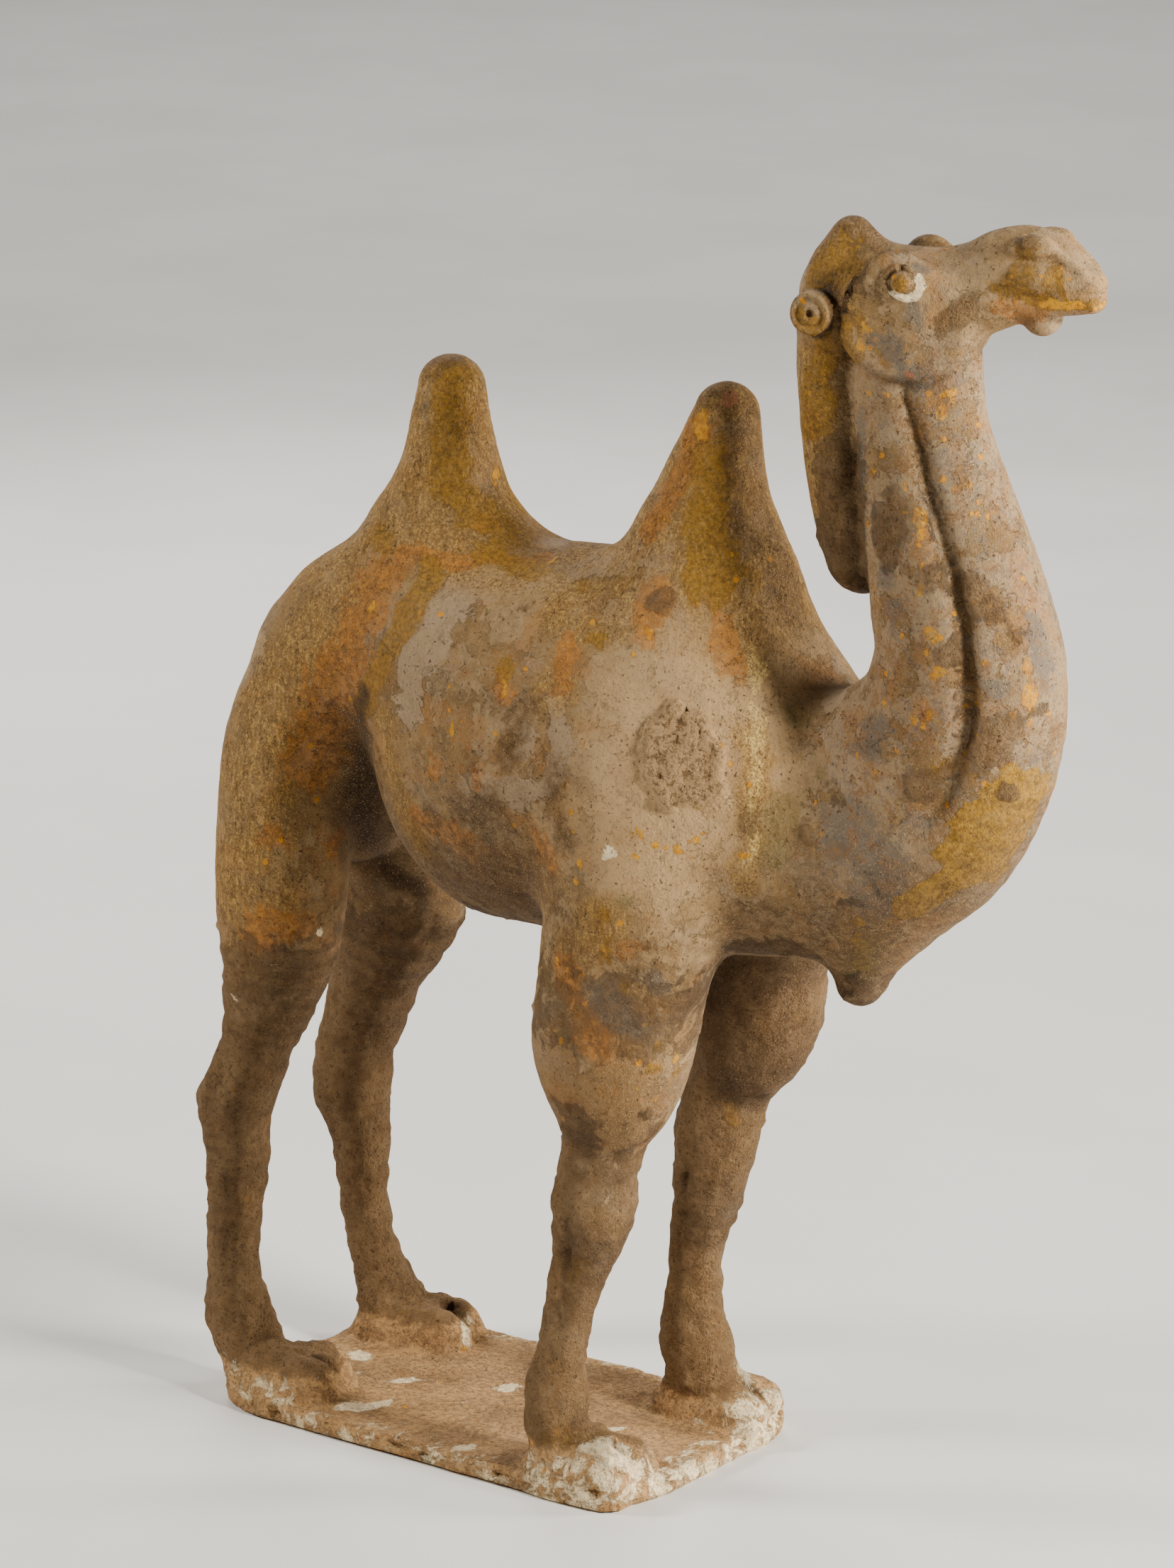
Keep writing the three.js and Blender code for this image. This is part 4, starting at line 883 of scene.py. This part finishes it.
class Shader:
    """Short words for the node trees that follow."""

    def __init__(self, name):
        self.material = bpy.data.materials.new(name)
        self.material.use_nodes = True
        self.tree = self.material.node_tree
        self.tree.nodes.clear()
        self.place = self.node("TexCoord").outputs["Object"]
        self.surface = self.node("BsdfPrincipled")
        output = self.node("OutputMaterial")
        self.tree.links.new(self.surface.outputs["BSDF"], output.inputs["Surface"])

    def node(self, kind):
        return self.tree.nodes.new("ShaderNode" + kind)

    def put(self, socket, value):
        if isinstance(value, bpy.types.NodeSocket):
            self.tree.links.new(value, socket)
        else:
            socket.default_value = value

    def weight(self, word):
        node = self.node("Attribute")
        node.attribute_name = word
        return node.outputs["Fac"]

    def math(self, kind, a, b=0.0, clamp=False):
        node = self.node("Math")
        node.operation = kind
        node.use_clamp = clamp
        self.put(node.inputs[0], a)
        self.put(node.inputs[1], b)
        return node.outputs[0]

    def plus(self, a, b):
        return self.math("ADD", a, b)

    def times(self, a, b):
        return self.math("MULTIPLY", a, b)

    def between(self, value, low, high, start=0.0, end=1.0):
        node = self.node("MapRange")
        node.interpolation_type = "SMOOTHSTEP"
        for socket, number in zip(node.inputs, (value, low, high, start, end)):
            self.put(socket, number)
        return node.outputs[0]

    def cloud(self, size, detail=3.0, roughness=0.55, stretch=None, twist=0.0):
        node = self.node("TexNoise")
        place = self.place
        if stretch:
            mapping = self.node("Mapping")
            mapping.inputs["Scale"].default_value = stretch
            self.put(mapping.inputs["Vector"], place)
            place = mapping.outputs[0]
        self.put(node.inputs["Vector"], place)
        node.inputs["Scale"].default_value = 1 / (size * MM)
        node.inputs["Detail"].default_value = detail
        node.inputs["Roughness"].default_value = roughness
        node.inputs["Distortion"].default_value = twist
        return node.outputs[0]

    def cells(self, size, feature="F1", bend=None):
        node = self.node("TexVoronoi")
        node.feature = feature
        place = self.place
        if bend is not None:
            # Shifts the cells by a cloud, so that their borders wander
            shift = self.node("VectorMath")
            shift.operation = "ADD"
            self.put(shift.inputs[0], place)
            self.put(shift.inputs[1], self.times(bend, 4 * MM))
            place = shift.outputs[0]
        self.put(node.inputs["Vector"], place)
        node.inputs["Scale"].default_value = 1 / (size * MM)
        return node

    def patch(self, word, ragged, low=0.47, high=0.55, noise_share=0.8):
        """A painted weight with a ragged flaked border."""
        moved = self.plus(self.weight(word), self.times(self.plus(ragged, -0.5), noise_share))
        return self.between(moved, low, high)

    def mix(self, share, a, b):
        """Mixes two tints, each a socket or a screen colour."""
        node = self.node("Mix")
        node.data_type = "RGBA"
        self.put(node.inputs["Factor"], share)
        for place, tint in ((COLOUR_A, a), (COLOUR_B, b)):
            self.put(node.inputs[place], linear(*tint) if isinstance(tint, tuple) else tint)
        return node.outputs[COLOUR_RESULT]

    def coat(self, share, tint):
        """Lays a tint over the surface colour."""
        self.colour = self.mix(share, self.colour, tint)

    def dab(self, share, cloud, low, high, start, end, tint):
        """Lays a tint whose share goes from start to end as the cloud goes from low to high."""
        self.coat(self.times(share, self.between(cloud, low, high, start, end)), tint)


def fired_clay():
    s = Shader("fired_clay_with_paint_remains")
    cloud, cells, weight, patch = s.cloud, s.cells, s.weight, s.patch
    plus, times, between, mix, coat, dab = s.plus, s.times, s.between, s.mix, s.coat, s.dab
    large, medium = cloud(38, 3), cloud(9, 4)
    small, dust, pore = cloud(2.6, 5, 0.62), cloud(0.9, 4, 0.68), cloud(0.45, 2, 0.6)
    ragged = cloud(6.0, 9, 0.72, twist=0.6)
    ragged_fine = cloud(1.3, 5, 0.7)
    strokes = cloud(2.6, 5, 0.65, stretch=(1.0, 1.0, 0.2))
    streaks = cloud(1.1, 4, 0.7, stretch=(1.0, 1.0, 0.3))
    pits = between(cloud(1.25, 2, 0.5), 0.66, 0.72)
    neck, legs, bloom, gold = weight("neck"), weight("legs"), weight("bloom"), weight("gold")
    dots_near = weight("dots")

    # Clay darkened by the soil, under flakes of the first slip
    s.colour = mix(between(medium, 0.36, 0.64), (112, 86, 50), (138, 108, 67))
    coat(between(small, 0.46, 0.66, 0, 0.6), (156, 126, 83))
    coat(times(legs, 0.7), (145, 111, 69))
    slip = mix(between(small, 0.35, 0.65), (141, 114, 77), (163, 134, 94))
    slip = mix(times(neck, between(medium, 0.35, 0.65, 0.3, 0.9)), slip, (150, 127, 97))
    field = plus(times(cloud(17, 4, 0.55, twist=0.5), 0.62), times(ragged, 0.38))
    border = 0.505
    for where, change in ((weight("barrel"), 0.02), (bloom, -0.1), (neck, -0.045), (legs, 0.05),
                          (weight("pale"), -0.06)):
        border = plus(border, times(where, change))
    above = s.math("SUBTRACT", field, border)
    flake = between(above, -0.003, 0.006)
    dab(flake, large, 0.3, 0.7, 0.95, 0.75, slip)
    from_border = s.math("ABSOLUTE", plus(above, -0.004))
    rim = times(between(from_border, 0.0, 0.007, 1.0, 0.0), between(medium, 0.45, 0.6))
    coat(times(rim, 0.45), (186, 158, 118))
    dab(bloom, medium, 0.2, 0.6, 0.5, 0.9, (200, 164, 116))
    cream = weight("cream")
    dab(cream, medium, 0.2, 0.6, 0.75, 0.95, (187, 143, 90))
    scuff = plus(times(cloud(12, 4, 0.6), 0.6), times(ragged_fine, 0.4))
    dab(cream, scuff, 0.44, 0.58, 0, 0.6, (146, 112, 74))
    grit = between(cloud(1.9, 4, 0.7), 0.5, 0.6, 0, 0.6)
    coat(times(cream, grit), (136, 104, 68))
    # Rusty, dark and grey stains that run through both
    calm = between(plus(bloom, cream), 0.1, 0.6, 1.0, 0.45)
    for size, share, rag, rag_share, full, strength, tint in (
            (14, 0.7, ragged, 0.35, 0.62, 0.45, (152, 100, 45)),
            (11, 0.6, ragged_fine, 0.45, 0.63, 0.4, (103, 75, 41)),
            (19, 0.7, ragged_fine, 0.35, 0.62, 0.35, (129, 115, 95))):
        stain = plus(times(cloud(size, 4, 0.6), share), times(rag, rag_share))
        coat(times(between(stain, 0.53, full, 0, strength), calm), tint)
    pale = patch("pale", ragged, 0.47, 0.53, 1.6)
    dab(pale, small, 0.3, 0.7, 0.6, 0.95, (157, 133, 103))

    # Ochre wash: a fine speckle of light gold and dark olive
    grains = plus(times(streaks, 0.5), times(cloud(0.7, 3, 0.7), 0.5))
    wash = times(between(gold, 0.1, 0.6), between(medium, 0.3, 0.55, 0.5, 1.0))
    coat(times(wash, 0.6), (137, 100, 44))
    dab(wash, grains, 0.51, 0.6, 0, 0.75, (197, 156, 78))
    dab(wash, grains, 0.49, 0.41, 0, 0.8, (104, 74, 28))
    worn = plus(times(strokes, 0.6), times(ragged, 0.5))
    rust = patch("rust", worn, 0.36, 0.62, 2.2)
    dab(rust, grains, 0.4, 0.6, 0.3, 0.75,
        mix(between(small, 0.4, 0.6), (142, 82, 14), (182, 112, 24)))
    mustard = patch("mustard", worn, 0.38, 0.6, 1.8)
    thin = between(grains, 0.46, 0.6, 0.9, 0.55)
    coat(times(mustard, thin),
         mix(between(ragged_fine, 0.4, 0.6), (112, 78, 4), (150, 106, 12)))
    glint = between(plus(weight("glint"), times(plus(ragged, -0.5), 1.2)), 0.3, 0.6)
    coat(times(glint, between(cloud(0.8, 3, 0.7), 0.44, 0.6, 0.05, 0.65)), (240, 206, 120))
    orange = patch("orange", ragged, 0.46, 0.52, 1.5)
    dab(orange, ragged_fine, 0.35, 0.6, 1.0, 0.8,
        mix(between(small, 0.4, 0.6), (182, 118, 0), (212, 152, 4)))
    # Stray dots of the same orange
    spots = cells(5.2)
    luck = plus(s.math("FRACT", times(spots.outputs["Color"], 3.7)), times(dots_near, 0.5))
    near_spot = plus(spots.outputs["Distance"], times(plus(ragged_fine, -0.5), 0.6))
    dots = times(between(luck, 0.95, 0.97), between(near_spot, 0.17, 0.21, 1.0, 0.0))
    coat(times(dots, 0.9), (204, 136, 6))

    slate = patch("slate", ragged, 0.3, 0.7, 1.6)
    dab(slate, small, 0.3, 0.7, 0.85, 0.55, (97, 90, 80))
    # A grey veil and brown mottle on the neck
    veil = times(neck, between(plus(small, times(ragged, 0.5)), 0.78, 0.84, 0, 0.5))
    coat(veil, (100, 92, 84))
    mottle = plus(times(cloud(5, 4, 0.6), 0.6), times(ragged_fine, 0.5))
    dab(neck, mottle, 0.57, 0.62, 0, 0.7, (127, 91, 55))
    yellow = patch("yellow", ragged, 0.36, 0.41, 0.8)
    dab(yellow, small, 0.35, 0.6, 0.98, 0.75,
        mix(between(ragged_fine, 0.4, 0.6), (136, 94, 0), (178, 132, 0)))
    for word, low, high, noise_share, strength, tint in (
            ("moss", 0.26, 0.74, 1.6, 0.5, (102, 92, 44)),
            ("umber_soil_and_shade", 0.25, 0.75, 1.8, between(small, 0.3, 0.7, 0.8, 0.4), (85, 59, 27)),
            ("red", 0.45, 0.55, 0.8, 0.75, (150, 92, 60))):
        coat(times(patch(word, ragged, low, high, noise_share), strength), tint)

    # Burial soil: crusts that crack, dirt and painted shade in hollows, painted shade on undersides
    crust = patch("crust", ragged, 0.28, 0.68, 1.5)
    lumps = cloud(1.7, 5, 0.7)
    cracks = cells(3.2, "DISTANCE_TO_EDGE", lumps).outputs["Distance"]
    crack = times(between(cracks, 0.01, 0.07, 1.0, 0.0), between(small, 0.5, 0.6))
    soil = mix(between(cloud(13, 4, 0.6), 0.4, 0.6), (136, 100, 60), (170, 133, 88))
    for share, tint in (
            (between(lumps, 0.44, 0.62, 0, 0.6), (171, 134, 90)),
            (between(dust, 0.5, 0.66, 0, 0.6), (183, 147, 103)),
            (between(pore, 0.55, 0.68, 0, 0.5), (96, 68, 36)),
            (times(crack, 0.5), (70, 48, 24)),
            # Darker where the lumps are low, following the bump: painted shade between the crumbs
            (between(lumps, 0.45, 0.37, 0, 0.75), (74, 50, 26)),
            (between(lumps, 0.55, 0.66, 0, 0.6), (196, 158, 112)),
            (between(cloud(3.4, 5, 0.72), 0.5, 0.62, 0, 0.5), (88, 62, 34))):
        soil = mix(share, soil, tint)
    dab(crust, medium, 0.3, 0.7, 0.9, 0.55, soil)
    mud = weight("mud")
    dab(mud, lumps, 0.4, 0.6, 0.6, 0.9, (189, 152, 106))
    # Darker where the lumps are low, following the bump: painted shade between the mud's crumbs
    dab(mud, lumps, 0.5, 0.4, 0, 0.75, (104, 74, 42))
    # Dirt and painted shade in the hollows
    hollow_dirt_and_shade = times(weight("hollow_dirt_and_shade"), between(neck, 0, 1, 0.9, 0.0))
    dab(hollow_dirt_and_shade, small, 0.3, 0.7, 0.9, 0.5, (81, 57, 31))
    # Painted shade in the deep hollows and on the far knee's inner side
    coat(times(weight("deep"), 0.5), (59, 39, 19))
    # Painted shade on surfaces that face down
    underside_shade = times(weight("underside_shade"), between(small, 0.3, 0.7, 0.75, 0.5))
    coat(underside_shade, (66, 46, 26))
    # Painted shadow in the flank crease
    shade = plus(weight("shade"), times(plus(ragged, -0.5), 0.2))
    coat(between(shade, 0.05, 0.95, 0, 0.85), (43, 28, 13))
    white = patch("white", ragged, 0.43, 0.58, 1.5)
    dab(white, small, 0.3, 0.6, 0.45, 0.95, (248, 226, 181))
    paint = s.math("MAXIMUM", s.math("MAXIMUM", mustard, orange), s.math("MAXIMUM", yellow, dots))
    bare = between(paint, 0, 1, 1.0, 0.35)
    dab(bare, dust, 0.53, 0.66, 0, 0.6, (90, 63, 33))
    dab(bare, pore, 0.55, 0.7, 0, 0.45, (195, 165, 121))
    coat(times(bare, times(pits, 0.7)), (72, 50, 26))
    s.put(s.surface.inputs["Base Color"], s.colour)

    rough = between(medium, 0.3, 0.7, 0.78, 0.92)
    rough = s.math("SUBTRACT", rough, times(paint, 0.16))
    s.put(s.surface.inputs["Roughness"], s.math("ADD", rough, times(crust, 0.08), clamp=True))
    s.surface.inputs["Specular IOR Level"].default_value = 0.25

    # Heights in millimetres
    height = plus(times(small, 0.6), plus(times(dust, 0.36), times(pore, 0.14)))
    for rise in (
            times(s.math("MAXIMUM", flake, pale), 0.28),
            times(rim, 0.1),
            times(times(cream, grit), 0.5),
            times(crust, plus(times(plus(lumps, -0.45), 3.8), times(dust, 2.2))),
            times(times(crust, crack), -0.5),
            times(mud, times(lumps, 3.0)),
            times(paint, 0.16),
            times(white, 0.16),
            times(pits, -0.3),
    ):
        height = plus(height, rise)
    bump = s.node("Bump")
    bump.inputs["Strength"].default_value = 1.0
    bump.inputs["Distance"].default_value = MM
    s.put(bump.inputs["Height"], height)
    s.put(s.surface.inputs["Normal"], bump.outputs[0])
    return s.material


def plain_floor():
    s = Shader("pale_floor")
    tone = s.between(s.cloud(160, 3), 0.3, 0.7)
    s.put(s.surface.inputs["Base Color"], s.mix(tone, (222, 219, 214), (229, 226, 221)))
    s.put(s.surface.inputs["Roughness"], s.between(s.cloud(24, 3), 0.3, 0.7, 0.72, 0.82))
    s.surface.inputs["Specular IOR Level"].default_value = 0.2
    return s.material


figure = skin_object("terracotta_camel")
figure.data.materials.append(fired_clay())
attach(figure, "root")
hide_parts(NODE)


# Setting: the camera looks from the camel's right front, 16 degrees down
SIGHT_TURN, SIGHT_DROP = math.radians(36.5), math.radians(16)
CAMERA_PLACE = np.array((1131.6, -1486.3, 741.9))
LONG_SIDE, FOCAL_PIXELS, LONG_PIXELS = 36.0, 9000.0, 2212.0
right = np.array((math.cos(SIGHT_TURN), math.sin(SIGHT_TURN), 0))
back = np.array((math.sin(SIGHT_TURN) * math.cos(SIGHT_DROP),
                 -math.cos(SIGHT_TURN) * math.cos(SIGHT_DROP), math.sin(SIGHT_DROP)))
up = np.cross(back, right)


def aimed(place, target):
    """Turns an object so that it faces a point."""
    way = mathutils.Vector(target) - mathutils.Vector(place)
    return way.to_track_quat("-Z", "Y").to_euler()


def add_camera():
    data = bpy.data.cameras.new("photo_camera")
    data.sensor_width = LONG_SIDE
    data.lens = FOCAL_PIXELS / LONG_PIXELS * LONG_SIDE
    data.clip_start, data.clip_end = 0.05, 30
    camera = placed("photo_camera", data)
    turn = mathutils.Matrix([list(row) for row in np.stack([right, up, back], 1)])
    camera.matrix_world = mathutils.Matrix.Translation(CAMERA_PLACE * MM) @ turn.to_4x4()
    bpy.context.scene.camera = camera


def add_light(name, along_right, along_up, along_back, size, watts, tint, facing=None):
    """A soft light this many metres right of, above and before the figure, as the camera sees it."""
    target = np.array((0.05, 0, 0.2))
    place = target + right * along_right + np.array((0, 0, 1.0)) * along_up + back * along_back
    if facing:
        target = place + facing
    data = bpy.data.lights.new(name, "AREA")
    data.shape, data.size, data.energy, data.color = "DISK", size, watts, tint
    light = placed(name, data)
    light.location, light.rotation_euler = place, aimed(place, target)


def add_floor():
    mesh = bpy.data.meshes.new("studio_floor")
    half = 6.0
    corners = [(half * x, half * y, 0) for x, y in ((-1, -1), (1, -1), (1, 1), (-1, 1))]
    mesh.from_pydata(corners, [], [(0, 1, 2, 3)])
    mesh.materials.append(plain_floor())
    placed("studio_floor", mesh)


def add_world():
    world = bpy.data.worlds.new("studio_air")
    world.use_nodes = True
    air = world.node_tree.nodes["Background"]
    air.inputs["Color"].default_value = (0.93, 0.95, 1.0, 1.0)
    air.inputs["Strength"].default_value = 0.06
    bpy.context.scene.world = world


add_camera()
for light in (
        ("key_softbox", 1.1, 0.42, 0.9, 0.3, 44, (1.0, 0.97, 0.91)),
        ("left_softbox", -1.3, 0.8, -0.1, 0.4, 20, (1.0, 0.97, 0.92)),
        ("right_softbox", 1.4, 0.2, -0.05, 0.4, 28, (1.0, 0.96, 0.9)),
        ("back_softbox", -0.3, 0.9, -1.3, 0.7, 8, (1.0, 0.98, 0.96)),
        ("floor_wash", 0.0, 2.2, -2.4, 2.0, 30, (1.0, 0.99, 0.97), (0.0, 0.0, -1.0))):
    add_light(*light)
add_floor()
add_world()
